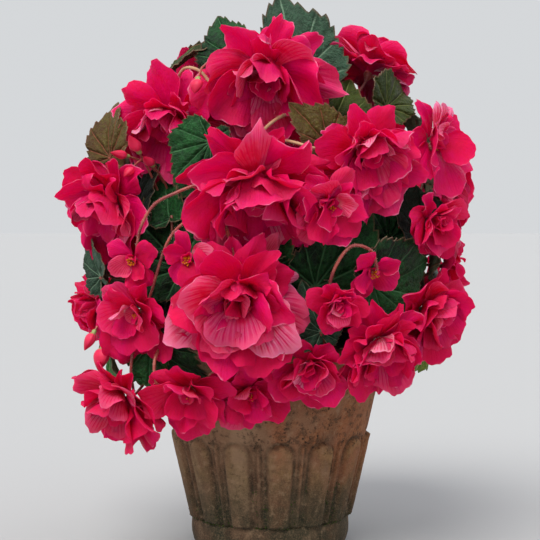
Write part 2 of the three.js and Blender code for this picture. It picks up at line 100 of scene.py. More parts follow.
@dataclass(frozen=True)
class Flower:
    """A bloom's place: its middle in millimetres, and its facing as azimuth and lift in degrees."""

    name: str
    stem: str
    form: Form
    radius: float
    middle: Point
    facing: Facing
    turn: float
    hang: float = 1.0
    pale: float = 0.25
    nod: float = 14

    def base(self) -> np.ndarray:
        """Where the bloom's stalk ends, in millimetres."""
        return np.array(self.middle) - SEAT_DEPTH * self.radius * outward(self.facing)


@dataclass(frozen=True)
class Leaf:
    """A leaf's place: middle, facing, clock angle of its tip, and the side that is larger."""

    stem: str
    length: float
    middle: Point
    facing: Facing
    clock: float
    larger: int
    kind: LeafKind = LeafKind.MATURE
    fine: bool = True


@dataclass(frozen=True)
class Bud:
    """A flower bud that hangs from its stalk, and the direction of its tip."""

    stem: str
    length: float
    middle: Point
    tip: Facing


@dataclass(frozen=True)
class Arch:
    """A long bare stalk that arches through an open place, by its points in millimetres."""

    stem: str
    kind: StalkKind
    points: tuple[Point, ...]


# A stem leaves the soil at an azimuth and runs through points of reach from the axis and height.
TRAILING = ((20, 148), (20, 186), (48, 230), (86, 246), (114, 224), (123, 188))
UPRIGHT = ((2, 148), (2, 180), (5, 240), (13, 310), (24, 366))
STEMS: dict[str, tuple[float, tuple[Span, ...]]] = {
    "crown": (0, UPRIGHT),
    "front": (2, TRAILING),
    "front_right": (40, TRAILING),
    "right": (80, TRAILING),
    "back_right": (124, TRAILING),
    "back": (168, TRAILING),
    "back_left": (212, TRAILING),
    "left": (256, TRAILING),
    "front_left": (300, TRAILING),
}

FLOWERS = (
    Flower("top", "crown", Form.DRAPED, 54, (-4, -94, 404), (-5, 15), 0, 1.0, 0.35, 52),
    Flower("top_left", "crown", Form.DRAPED, 46, (-87, -76, 369), (-25, 8), 40, 1.2, 0.35, 50),
    Flower("top_right", "crown", Form.DOUBLE, 38, (90, -22, 424), (125, 60), 20),
    Flower("centre_high", "front", Form.DRAPED, 53, (-10, -152, 312), (0, -8), 45, 1.1, 0.1, 56),
    Flower("centre_low", "front", Form.DRAPED, 49, (-24, -164, 222), (-4, 4), 10, 0.7, 0.42, 22),
    Flower("heart", "front", Form.HALF, 31, (49, -164, 298), (12, -5), 30),
    Flower("right_high", "front_right", Form.DRAPED, 41, (79, -128, 341), (22, 12), 20, 0.9, 0.3, 40),
    Flower("right_edge", "right", Form.HALF, 42, (144, -80, 352), (54, 10), 38),
    Flower("right_rosette", "right", Form.ROSETTE, 32, (136, -104, 284), (46, -8), 50),
    Flower("left_edge", "left", Form.DRAPED, 42, (-138, -92, 300), (-48, -4), 30, 1.0, 0.2, 50),
    Flower("left_small", "front_left", Form.SINGLE, 22, (-112, -132, 256), (-22, -12), 0),
    Flower("left_low", "front_left", Form.HALF, 36, (-112, -128, 210), (-34, -12), 60),
    Flower("left_inner", "front_left", Form.SINGLE, 23, (-66, -146, 258), (-16, 2), 20),
    Flower("right_bud", "front", Form.ROSETTE, 23, (53, -161, 221), (10, -12), 0),
    Flower("right_nodding", "front_right", Form.SINGLE, 24, (84, -144, 246), (30, -25), 40),
    Flower("right_low", "front_right", Form.DRAPED, 38, (90, -140, 184), (24, -16), 15, 1.0, 0.2, 40),
    Flower("right_lower", "right", Form.DOUBLE, 39, (136, -96, 208), (52, -14), 55),
    Flower("rim_middle", "front", Form.ROSETTE, 32, (32, -144, 168), (6, -18), 30),
    Flower("rim_left", "front", Form.HALF, 35, (-66, -140, 145), (-16, -22), 0),
    Flower("rim_centre", "front", Form.HALF, 30, (-16, -132, 146), (4, -16), 35),
    Flower("trailing_left", "front_left", Form.DOUBLE, 40, (-126, -112, 136), (-46, -24), 25, 1.3, 0.2, 22),
    Flower("right_side", "right", Form.HALF, 28, (158, -44, 248), (72, -8), 10),
    Flower("side_high", "crown", Form.HALF, 40, (98, 42, 384), (110, 22), 15),
    Flower("back_top", "crown", Form.DOUBLE, 46, (14, 92, 404), (172, 24), 50),
    Flower("back_top_left", "crown", Form.HALF, 44, (-84, 34, 392), (-112, 24), 35, 1.6, 0.25, 50),
    Flower("side_right", "right", Form.DOUBLE, 44, (156, 24, 312), (98, 6), 35),
    Flower("back_right", "back_right", Form.DRAPED, 46, (112, 110, 302), (135, 4), 20, 1.1, 0.25, 40),
    Flower("back", "back", Form.DRAPED, 49, (18, 160, 306), (174, 4), 60, 1.1, 0.25, 40),
    Flower("back_left", "back_left", Form.HALF, 46, (-84, 132, 304), (-148, 6), 0),
    Flower("side_left", "left", Form.HALF, 47, (-154, 24, 308), (-98, 4), 75),
    Flower("low_right", "back_right", Form.HALF, 38, (154, 40, 212), (104, -12), 30),
    Flower("low_back_right", "back_right", Form.ROSETTE, 34, (92, 126, 204), (144, -12), 10),
    Flower("low_back", "back", Form.HALF, 37, (10, 164, 206), (176, -12), 25),
    Flower("low_back_left", "back_left", Form.HALF, 39, (-84, 134, 200), (-148, -14), 50),
    Flower("low_left", "left", Form.HALF, 39, (-154, 36, 206), (-102, -14), 15),
    Flower("low_side_left", "left", Form.ROSETTE, 31, (-154, -50, 211), (-74, -12), 40),
)

LEAVES = (
    Leaf("crown", 84, (16, -38, 448), (4, 12), -8, 1, LeafKind.GREY),
    Leaf("crown", 56, (-38, -44, 446), (-20, 20), -30, -1),
    Leaf("crown", 58, (60, -68, 388), (10, 20), 25, 1, LeafKind.OLIVE),
    Leaf("crown", 50, (112, -58, 396), (40, 20), 60, -1, LeafKind.OLIVE),
    Leaf("crown", 80, (40, 34, 446), (134, 50), 20, 1),
    Leaf("crown", 84, (-40, 52, 444), (-146, 48), -30, -1),
    Leaf("crown", 64, (-72, -26, 434), (-76, 44), 20, 1, LeafKind.OLIVE),
    Leaf("left", 56, (-140, -62, 366), (-40, 10), -20, 1, LeafKind.BRONZE),
    Leaf("front", 48, (34, -122, 366), (10, 5), -40, 1, LeafKind.BRONZE),
    Leaf("front_left", 60, (-58, -116, 328), (-25, 0), 200, 1),
    Leaf("front_left", 84, (-84, -92, 286), (-30, 5), -20, -1),
    Leaf("front_left", 84, (-44, -116, 268), (-15, 5), -60, 1),
    Leaf("front_right", 82, (60, -118, 264), (15, 0), 40, 1),
    Leaf("front_right", 72, (112, -106, 244), (35, -5), 75, -1),
    Leaf("right", 76, (104, -72, 306), (40, 5), 10, 1),
    Leaf("front", 44, (34, -142, 219), (0, 0), -20, -1, LeafKind.GREY),
    Leaf("front_left", 60, (-77, -120, 172), (-20, -15), 130, 1),
    Leaf("left", 48, (-152, -66, 258), (-60, -5), -40, 1, LeafKind.GREY),
    Leaf("right", 88, (144, -14, 266), (84, 0), 60, 1),
    Leaf("back_right", 84, (134, 66, 250), (116, 0), -60, -1),
    Leaf("back", 86, (70, 126, 246), (152, 0), -60, -1),
    Leaf("back_left", 92, (-34, 142, 256), (-165, 0), 50, 1),
    Leaf("back_left", 88, (-116, 92, 254), (-130, 0), -70, -1),
    Leaf("left", 56, (-150, -12, 250), (-92, 0), 66, 1),
    Leaf("right", 80, (132, -16, 356), (84, 10), 30, -1),
    Leaf("back_right", 88, (84, 108, 352), (145, 10), -40, 1),
    Leaf("back_left", 88, (-44, 126, 350), (-165, 10), 30, -1),
    Leaf("left", 84, (-120, 66, 358), (-118, 10), -40, 1),
    Leaf("back_right", 70, (110, 84, 162), (128, -20), 150, 1),
    Leaf("back", 70, (-20, 138, 156), (-172, -20), 200, -1, LeafKind.BRIGHT),
    Leaf("left", 58, (-136, -22, 156), (-82, -20), 160, 1, LeafKind.BRIGHT),
    Leaf("right", 64, (132, -30, 168), (78, -20), 200, -1, LeafKind.YELLOWING),
    Leaf("front_left", 44, (-99, -106, 168), (-30, -5), 165, -1, LeafKind.BRIGHT),
    Leaf("left", 60, (-112, -66, 326), (-48, 0), 10, 1, LeafKind.SHADED, False),
    Leaf("right", 60, (120, -84, 300), (44, 0), -20, 1, LeafKind.SHADED, False),
    Leaf("back_right", 62, (60, 84, 338), (112, 10), 20, 1, LeafKind.SHADED, False),
    Leaf("right", 60, (109, 46, 328), (170, 10), 10, 1, LeafKind.SHADED, False),
)

BUDS = (
    Bud("front_left", 24, (-140, -100, 176), (-30, -70)),
    Bud("front_left", 20, (-150, -96, 190), (-60, -60)),
    Bud("front_left", 20, (-112, -96, 352), (-40, 50)),
    Bud("front_left", 16, (-100, -100, 338), (-30, 30)),
    Bud("front_left", 18, (-124, -96, 344), (-60, 10)),
    Bud("front_left", 15, (-116, -104, 330), (-40, -40)),
    Bud("crown", 17, (-60, -110, 400), (-20, -60)),
    Bud("back", 22, (14, 148, 258), (170, -60)),
)

ARCHES = (
    Arch("front_left", StalkKind.FLOWER, (
        (-2, -14, 306), (-10, -60, 312), (-16, -104, 318), (-34, -132, 322), (-56, -140, 319),
        (-77, -140, 311), (-92, -138, 303), (-104, -132, 284), (-108, -124, 266),
    )),
    Arch("front_left", StalkKind.FLOWER, (
        (0, -12, 300), (-6, -70, 312), (-14, -112, 310), (-34, -130, 303), (-52, -138, 298),
        (-66, -140, 290), (-80, -138, 276), (-98, -124, 226),
    )),
    Arch("front", StalkKind.FLOWER, (
        (-38, -136, 304), (-34, -148, 282), (-28, -152, 262), (-26, -144, 240),
    )),
    Arch("crown", StalkKind.PALE, (
        (-74, -50, 376), (-80, -60, 400), (-72, -80, 416), (-58, -93, 413), (-46, -98, 398),
    )),
    Arch("front", StalkKind.PALE, (
        (2, -22, 340), (8, -74, 350), (14, -120, 354), (38, -136, 347), (66, -124, 343),
    )),
    Arch("front", StalkKind.PALE, (
        (2, -22, 356), (10, -66, 370), (12, -104, 376), (-5, -134, 362), (-20, -138, 336),
    )),
    Arch("front_right", StalkKind.FLOWER, (
        (68, -88, 226), (52, -118, 222), (46, -144, 230), (52, -152, 254), (65, -154, 270),
        (80, -152, 266), (86, -142, 248),
    )),
    Arch("front_left", StalkKind.FLOWER, (
        (-104, -62, 190), (-92, -90, 202), (-84, -112, 196), (-93, -130, 178), (-92, -134, 160),
        (-84, -126, 146),
    )),
    Arch("front_left", StalkKind.FLOWER, (
        (-106, -62, 188), (-102, -80, 202), (-102, -96, 200), (-111, -112, 186), (-114, -115, 168),
        (-113, -104, 148),
    )),
)


# ---------------- directions and curves


def outward(facing: Facing) -> np.ndarray:
    """Looks out at an azimuth to the right of the front and a lift above level.

    Args:
        facing: azimuth and lift in degrees.

    Returns:
        The unit vector.
    """
    azimuth, lift = (math.radians(angle) for angle in facing)
    level = math.cos(lift)
    return np.array([math.sin(azimuth) * level, -math.cos(azimuth) * level, math.sin(lift)])


def around_axis(azimuth: float, reach: float, height: float) -> Point:
    """Finds the place at an azimuth, a reach from the plant's axis and a height."""
    out = outward((azimuth, 0)) * reach
    return (out[0], out[1], height)


def unit(way: np.ndarray) -> np.ndarray:
    """Brings a direction to a length of one."""
    return way / np.linalg.norm(way)


def unit_rows(ways: np.ndarray) -> np.ndarray:
    """Brings each row of directions to a length of one."""
    return ways / np.linalg.norm(ways, axis=1)[:, None]


def clamp(value: float, low: float = 0.0, high: float = 1.0) -> float:
    """Keeps a number between two others."""
    return min(max(value, low), high)


def ease(values: np.ndarray, start: float, span: float) -> np.ndarray:
    """Rises smoothly from 0 to 1 over a span that begins at a start."""
    share = np.clip((values - start) / span, 0, 1)
    return share * share * (3 - 2 * share)


def ridge(off: np.ndarray, width: float) -> np.ndarray:
    """Stands at 1 on a line and falls away from it like a bell."""
    return np.exp(-((off / width) ** 2))


def facing_axes(facing: Facing, clock: float) -> np.ndarray:
    """Finds the side, tip and face directions of something that faces outward.

    Args:
        facing: azimuth and lift in degrees.
        clock: the tip's clock angle in degrees, seen by someone whom it faces.

    Returns:
        Three rows: side, tip and face.
    """
    face = outward(facing)
    right = unit(np.cross((0, 0, 1), face))
    upward = np.cross(face, right)
    angle = math.radians(clock)
    tip = upward * math.cos(angle) + right * math.sin(angle)
    return np.array([np.cross(tip, face), tip, face])


@dataclass(frozen=True)
class StemCurve:
    """A smooth curve through a stem's points, and the stretch of it that stalks leave from."""

    points: tuple[Point, ...]
    leafy: Span = (0.2, 0.97)

    @classmethod
    def of(cls, name: str) -> StemCurve:
        """Takes a stem's curve from the table by its name."""
        azimuth, route = STEMS[name]
        return cls(tuple(around_axis(azimuth, reach, height) for reach, height in route))

    def at(self, share: float) -> np.ndarray:
        """Finds a point of the curve.

        Args:
            share: from 0 at the root to 1 at the tip.

        Returns:
            The point in millimetres.
        """
        knots = np.array(self.points, float)
        last = len(knots) - 1
        place = clamp(share) * last
        first = min(int(place), last - 1)
        weight = place - first
        before = knots[first - 1] if first > 0 else 2 * knots[0] - knots[1]
        after = knots[first + 2] if first + 2 <= last else 2 * knots[last] - knots[last - 1]
        a, b = knots[first], knots[first + 1]
        gaps = [math.sqrt(float(np.linalg.norm(q - p))) for p, q in ((before, a), (a, b), (b, after))]
        leave = ((a - before) / gaps[0] - (b - before) / (gaps[0] + gaps[1]) + (b - a) / gaps[1]) * gaps[1]
        arrive = ((b - a) / gaps[1] - (after - a) / (gaps[1] + gaps[2]) + (after - b) / gaps[2]) * gaps[1]
        square = -3 * a + 3 * b - 2 * leave - arrive
        cube = 2 * a - 2 * b + leave + arrive
        return a + weight * (leave + weight * (square + weight * cube))

    def along(self, share: float) -> np.ndarray:
        """Finds the curve's direction, as a unit vector, at a share of its length."""
        nudge = 1e-4
        return unit(self.at(min(share + nudge, 1)) - self.at(max(share - nudge, 0)))

    def line(self, count: int) -> np.ndarray:
        """Lists a number of points along the whole curve, in millimetres."""
        return np.array([self.at(share) for share in np.linspace(0, 1, count)])

    def stalk(self, end: np.ndarray, arriving: np.ndarray, back: float, steps: int = 12) -> np.ndarray:
        """Runs a stalk from the stem to a point.

        Args:
            end: where the stalk ends, in millimetres.
            arriving: its direction there.
            back: how far before the nearest place it leaves the stem, as a share.
            steps: the number of stretches.

        Returns:
            The stalk's points.
        """
        tries = 20
        shares = [number / tries for number in range(tries + 1)]
        nearest = min(shares, key=lambda share: float(np.linalg.norm(self.at(share) - end)))
        share = clamp(nearest - back, *self.leafy)
        start = self.at(share)
        reach = 0.4 * float(np.linalg.norm(end - start))
        leaving = unit(self.along(share) + unit(end - start))
        corners = (start, start + leaving * reach, end - arriving * reach, end)
        t = np.linspace(0, 1, steps + 1)[:, None]
        weights = ((1 - t) ** 3, 3 * t * (1 - t) ** 2, 3 * t * t * (1 - t), t**3)
        return sum(weight * corner for weight, corner in zip(weights, corners))


# ---------------- shader arithmetic


class Value:
    """A shader socket that takes part in plain arithmetic."""

    def __init__(self, finish: Finish, socket: bpy.types.NodeSocket) -> None:
        """Keeps the socket and the finish that it belongs to."""
        self.finish = finish
        self.socket = socket

    def __add__(self, other: Value | float) -> Value:
        """Adds."""
        return self.finish.math("ADD", self, other)

    def __radd__(self, other: float) -> Value:
        """Adds, from the right."""
        return self.finish.math("ADD", other, self)

    def __sub__(self, other: Value | float) -> Value:
        """Subtracts."""
        return self.finish.math("SUBTRACT", self, other)

    def __rsub__(self, other: float) -> Value:
        """Subtracts, from the right."""
        return self.finish.math("SUBTRACT", other, self)

    def __mul__(self, other: Value | float) -> Value:
        """Multiplies."""
        return self.finish.math("MULTIPLY", self, other)

    def __rmul__(self, other: float) -> Value:
        """Multiplies, from the right."""
        return self.finish.math("MULTIPLY", other, self)

    def __pow__(self, other: Value | float) -> Value:
        """Raises to a power."""
        return self.finish.math("POWER", self, other)

    def __abs__(self) -> Value:
        """Drops the sign."""
        return self.finish.math("ABSOLUTE", self)


Input = Value | float | Sequence[float]
Inputs = dict[str | int, Input]

# The numbers of the Mix node's sockets for colours, which share their names with others.
MIX_SHARE, MIX_FIRST, MIX_SECOND, MIX_RESULT = 0, 6, 7, 2


class Finish:
    """One material: its node tree, and the nodes that a finish is written with."""

    def __init__(self, name: str) -> None:
        """Starts an empty material with its shader and output."""
        self.material = bpy.data.materials.new(name)
        self.material.use_nodes = True
        self.tree = self.material.node_tree
        self.tree.nodes.clear()
        self.shader = self.tree.nodes.new("ShaderNodeBsdfPrincipled")
        output = self.tree.nodes.new("ShaderNodeOutputMaterial")
        self.tree.links.new(self.shader.outputs[0], output.inputs[0])

    def put(self, socket: bpy.types.NodeSocket, value: Input) -> None:
        """Links or sets a socket.

        Args:
            socket: an input.
            value: a link, a number, a vector or a colour.
        """
        if isinstance(value, Value):
            self.tree.links.new(value.socket, socket)
        elif isinstance(value, (int, float)):
            socket.default_value = value
        else:
            wide = len(socket.default_value)
            socket.default_value = (*value, 1.0)[:wide]

    def node(
        self,
        kind: str,
        settings: dict[str, Any] | None = None,
        inputs: Inputs | None = None,
        output: str | int = 0,
    ) -> Value:
        """Adds a node.

        Args:
            kind: the node's type.
            settings: its properties, set first.
            inputs: values or links of its sockets, by name or number.
            output: the socket that is returned.

        Returns:
            The output as a value.
        """
        made = self.tree.nodes.new(kind)
        for name, setting in (settings or {}).items():
            setattr(made, name, setting)
        for key, value in (inputs or {}).items():
            self.put(made.inputs[key], value)
        return Value(self, made.outputs[output])

    def math(self, operation: str, *values: Value | float) -> Value:
        """Adds a Math node on up to three values."""
        return self.node("ShaderNodeMath", {"operation": operation}, dict(enumerate(values)))

    def smooth(self, value: Value, low: float, high: float) -> Value:
        """Rises smoothly from 0 at the low value to 1 at the high one, or falls if they are swapped."""
        ends: Inputs = {"Value": value, "From Min": low, "From Max": high}
        return self.node("ShaderNodeMapRange", {"interpolation_type": "SMOOTHSTEP"}, ends)

    def within(self, value: Value) -> Value:
        """Keeps a value from 0 to 1."""
        return self.node("ShaderNodeClamp", {}, {"Value": value})

    def choose(self, test: Value, yes: Value, no: Value | float) -> Value:
        """Takes one value where a test is 1 and another where it is 0."""
        return test * yes + (1 - test) * no

    def here(self) -> Value:
        """The place on the object, in metres."""
        return self.node("ShaderNodeTexCoord", output="Object")

    def parts(self, vector: Value) -> tuple[Value, Value, Value]:
        """Splits a vector into its three numbers."""
        split = self.node("ShaderNodeSeparateXYZ", inputs={0: vector})
        sockets = split.socket.node.outputs
        return Value(self, sockets[0]), Value(self, sockets[1]), Value(self, sockets[2])

    def chart(self, name: str) -> tuple[Value, Value]:
        """The two coordinates of one of the piece's own UV maps."""
        across, along, _ = self.parts(self.node("ShaderNodeUVMap", {"uv_map": name}))
        return across, along

    def stored(self, name: str, output: str = "Fac") -> Value:
        """A number or colour that is stored on the piece's mesh."""
        return self.node("ShaderNodeAttribute", {"attribute_name": name}, output=output)

    def stretched(self, vector: Value, scale: Point) -> Value:
        """Scales a place, so that a pattern runs longer one way."""
        return self.node("ShaderNodeVectorMath", {"operation": "MULTIPLY"}, {0: vector, 1: scale})

    def noise(self, where: Value, scale: float, detail: float = 3, rough: float = 0.55) -> Value:
        """Soft cloudy noise round 0.5, with a scale in repeats to the metre."""
        ends: Inputs = {"Vector": where, "Scale": scale, "Detail": detail, "Roughness": rough}
        return self.node("ShaderNodeTexNoise", {}, ends, "Fac")

    def cells(self, where: Value, scale: float, feature: str = "F1") -> Value:
        """Distance in a pattern of cells."""
        ends: Inputs = {"Vector": where, "Scale": scale}
        return self.node("ShaderNodeTexVoronoi", {"feature": feature}, ends, "Distance")

    def blend(self, share: Value | float, first: Input, second: Input) -> Value:
        """Goes from one colour to another."""
        settings = {"data_type": "RGBA", "clamp_factor": True}
        colours = {MIX_SHARE: share, MIX_FIRST: first, MIX_SECOND: second}
        return self.node("ShaderNodeMix", settings, colours, MIX_RESULT)

    def coats(self, ground: Value, *coats: tuple[Value, str]) -> Value:
        """Lays coats of colour over a ground.

        Args:
            ground: the colour underneath.
            *coats: each coat's share and its six-digit colour, from the lowest to the uppermost.

        Returns:
            The colour with all its coats.
        """
        colour = ground
        for share, tint in coats:
            colour = self.blend(share, colour, shade(tint))
        return colour

    def bump(self, height: Value, strength: float, distance: float) -> None:
        """Raises the surface's look by a height field, with a distance in metres."""
        ends: Inputs = {"Strength": strength, "Distance": distance, "Height": height}
        self.put(self.shader.inputs["Normal"], self.node("ShaderNodeBump", {}, ends))

    def set(self, **values: Input) -> bpy.types.Material:
        """Sets the shader's sockets and returns the material; Base_Color stands for Base Color."""
        for name, value in values.items():
            self.put(self.shader.inputs[name.replace("_", " ")], value)
        return self.material


def shade(code: str) -> Colour:
    """Turns a six-digit display colour into the shader's linear colour."""
    steps = (int(code[i : i + 2], 16) / 255 for i in (0, 2, 4))
    linear = [s / 12.92 if s <= 0.04045 else ((s + 0.055) / 1.055) ** 2.4 for s in steps]
    return (linear[0], linear[1], linear[2])


# ---------------- finishes


@dataclass(frozen=True)
class PetalSkin:
    """The satin skin of a petal: crimson towards its root, partly its own colour and partly painted shade in
    the bloom's heart, rose on its face, and paler towards the margin, with painted light and a painted
    highlight along the rim.
    """

    deep: str
    face: str
    light: str
    pale: str
    veining: float
    whiteness: float
    magenta: str = "DA0068"
    heart: str = "F6D2D6"

    def dress(self, name: str) -> bpy.types.Material:
        """Writes the material.

        Args:
            name: the material's name.

        Returns:
            The material.
        """
        skin = Finish(name)
        across, along = skin.chart("petal")
        # The tone is partly random and partly painted light that grows with the bloom's height.
        tone_and_sunlight, paleness = skin.chart("mood")
        place = skin.here()
        cloud = skin.noise(place, 70, 2)
        fan = (across - 0.5) * (1 + 0.12 * cloud)
        wobble = skin.noise(place, 160, 2) * 1.2
        coarse = skin.math("SINE", fan * 98 + wobble) * 0.5 + 0.5
        fine = skin.math("SINE", fan * 221 + 2 * wobble) * 0.5 + 0.5
        veins = coarse**3 * 0.6 + fine**3 * 0.4 * skin.smooth(along, 0.25, 0.7)
        veins = veins * skin.smooth(along, 1.0, 0.8)
        # From the deep colour at the root, partly the petal's own crimson and partly painted shade in the
        # bloom's heart, to the face colour; the tone lifts it, with painted light on the higher blooms.
        rise = skin.within(skin.smooth(along, 0.0, 0.8) * 0.6 + (cloud - 0.5) * 1.1 + tone_and_sunlight * 0.5 + 0.05)
        streaks = skin.within((1 - 1.35 * veins) * paleness * skin.smooth(cloud + 0.5 * along, 0.45, 0.9))
        # Painted highlight: a pale line along parts of the petal's rim, where light grazes the margin.
        wear_and_rim_highlight = skin.smooth(skin.noise(place, 90, 1) + 0.2 * tone_and_sunlight, 0.6, 0.8)
        margin = skin.smooth(along, 0.965, 1.0) * wear_and_rim_highlight
        root = skin.smooth(along, 0.5, 0.1) * skin.within(paleness * 1.6 - 0.6) + self.whiteness
        colour = skin.coats(
            skin.blend(rise, shade(self.deep), shade(self.face)),
            (skin.smooth(cloud + 0.35 * tone_and_sunlight, 0.5, 0.85) * 0.45, self.magenta),
            # Painted light: lighter towards the tip, more so on the sunnier petals.
            (skin.smooth(along, 0.72, 1.0) * (0.25 + 0.35 * tone_and_sunlight), self.light),
            (veins * self.veining, self.deep),
            (streaks * 0.6, self.pale),
            (margin * 0.5, self.pale),
            (root * (1 - 0.4 * veins), self.heart),
        )
        grain = skin.noise(place, 1500, 2)
        crinkle = skin.noise(place, 300, 3, 0.6)
        skin.bump(veins * -0.6 + cloud * 1.2 + crinkle * 2.2 + grain * 0.25, 0.45, 0.0008)
        return skin.set(
            Base_Color=colour,
            Roughness=skin.within(0.58 - 0.1 * tone_and_sunlight + 0.15 * (grain - 0.5)),
            Subsurface_Weight=0.5,
            Subsurface_Radius=(1.0, 0.12, 0.35),
            Subsurface_Scale=0.004,
            Specular_IOR_Level=0.08,
        )


@dataclass(frozen=True)
class LeafSkin:
    """A leaf's skin: a blade between paler veins that fan from its stalk, and a red-tinged margin."""

    veins: tuple[float, ...]
    spacing: float
    underside: bool
    mesh_dark: str = "041008"
    margin_red: str = "8A5648"
    back_grey: str = "8D8A72"
    back_vein: str = "8A4038"

    def dress(self, name: str) -> bpy.types.Material:
        """Writes the material.

        Args:
            name: the material's name.

        Returns:
            The material.
        """
        skin = Finish(name)
        x, y = skin.chart("leaf")
        x, y = x * CHART_SCALE - CHART_SHIFT[0], y * CHART_SCALE - CHART_SHIFT[1]
        edge, wear = skin.chart("rim")
        place = skin.here()
        bend = (skin.noise(place, 45, 1) - 0.5) * 0.05
        sunny = skin.smooth(x + 0.3 * y, -0.3, 0.4)
        x = x + bend
        near: Value | None = None
        for angle in self.veins:
            dx, dy = vein_way(angle)
            along, off = x * dx + y * dy, abs(x * dy - y * dx)
            far = off + skin.math("LESS_THAN", along, 0) * BEHIND
            if near is None:
                near, run, side = far, along, off
                continue
            closer = skin.math("LESS_THAN", far, near)
            near = skin.math("MINIMUM", near, far)
            run, side = skin.choose(closer, along, run), skin.choose(closer, off, side)
        primary = skin.smooth(near, 0.016, 0.004) * skin.smooth(edge, 1.02, 0.8)
        wander = (skin.noise(place, 90, 2) - 0.5) * 0.09
        ladder = skin.math("PINGPONG", run - side**0.85 * 0.9 + wander, self.spacing / 2)
        branch = skin.smooth(ladder, 0.008, 0.001) * skin.smooth(edge, 1.0, 0.75)
        branch = branch * skin.smooth(run, 0.08, 0.2) * skin.smooth(side, 0.16, 0.02)
        net = skin.cells(place, 420, "DISTANCE_TO_EDGE")
        mesh = skin.smooth(net, 0.16, 0.02)
        lines = skin.within(primary + branch * 0.5 + mesh * 0.12)
        blade, vein = skin.stored("blade", "Color"), skin.stored("vein", "Color")
        cloud = skin.noise(place, 55, 4)
        pucker = skin.noise(place, 240, 3)
        # The lighter share mixes the leaf's own mottling with painted light on its sunny side and a painted
        # sheen on the raised puckers.
        bright = skin.within(skin.smooth(cloud, 0.3, 0.75) * 0.5 + sunny * 0.5 + (pucker - 0.5) * 1.7 - 0.05)
        colour = skin.blend(bright, blade, skin.stored("second", "Color"))
        colour = skin.blend(mesh * 0.35, colour, shade(self.mesh_dark))
        colour = skin.blend(lines * 0.7, colour, vein)
        colour = skin.blend(skin.smooth(edge, 0.955, 1.0) * wear, colour, shade(self.margin_red))
        if self.underside:
            colour = skin.blend(0.5, colour, shade(self.back_grey))
            colour = skin.blend(lines * 0.6, colour, shade(self.back_vein))
        lift = skin.smooth(side, 0.0, 0.05) * 0.8 - lines * 0.8 + net * 0.4 + pucker * 2.4
        skin.bump(lift, 0.8, 0.0016)
        return skin.set(
            Base_Color=colour,
            Roughness=skin.within(0.4 + 0.25 * cloud + (0.15 if self.underside else 0)),
            Specular_IOR_Level=0.2,
            Subsurface_Weight=0.06,
            Subsurface_Radius=(0.35, 1.0, 0.3),
            Subsurface_Scale=0.001,
        )


@dataclass(frozen=True)
class StalkSkin:
    """The juicy, faintly striped skin of a stem or stalk."""

    light: str
    dark: str
    gloss: float
    speck: str = "E3C9B0"

    def dress(self, name: str) -> bpy.types.Material:
        """Writes the material.

        Args:
            name: the material's name.

        Returns:
            The material.
        """
        skin = Finish(name)
        place = skin.here()
        patches = skin.noise(place, 60, 3)
        specks = skin.smooth(skin.noise(place, 900, 2), 0.56, 0.7)
        ground = skin.blend(skin.smooth(patches, 0.35, 0.65), shade(self.dark), shade(self.light))
        colour = skin.coats(ground, (specks * 0.35, self.speck))
        skin.bump(patches * 0.6 + specks * 0.3, 0.4, 0.0005)
        return skin.set(
            Base_Color=colour,
            Roughness=self.gloss,
            Subsurface_Weight=0.3,
            Subsurface_Radius=(1.0, 0.5, 0.25),
            Subsurface_Scale=0.002,
        )


@dataclass(frozen=True)
class BudSkin:
    """The skin of a bud: a pale green ovary, and closed petals that redden to their tip."""

    green: str = "9AA868"
    pink: str = "E8305C"
    red: str = "B80034"

    def dress(self, name: str) -> bpy.types.Material:
        """Writes the material.

        Args:
            name: the material's name.

        Returns:
            The material.
        """
        skin = Finish(name)
        ripe = skin.stored("ripe")
        cloud = skin.noise(skin.here(), 200, 2)
        reddening = skin.smooth(ripe + 0.3 * (cloud - 0.5), 0.35, 0.95)
        ground = skin.blend(reddening, shade(self.pink), shade(self.red))
        colour = skin.coats(ground, (skin.smooth(ripe + 0.1 * cloud, 0.34, 0.22), self.green))
        return skin.set(
            Base_Color=colour,
            Roughness=0.45,
            Subsurface_Weight=0.3,
            Subsurface_Radius=(1.0, 0.3, 0.3),
            Subsurface_Scale=0.003,
            Specular_IOR_Level=0.25,
        )


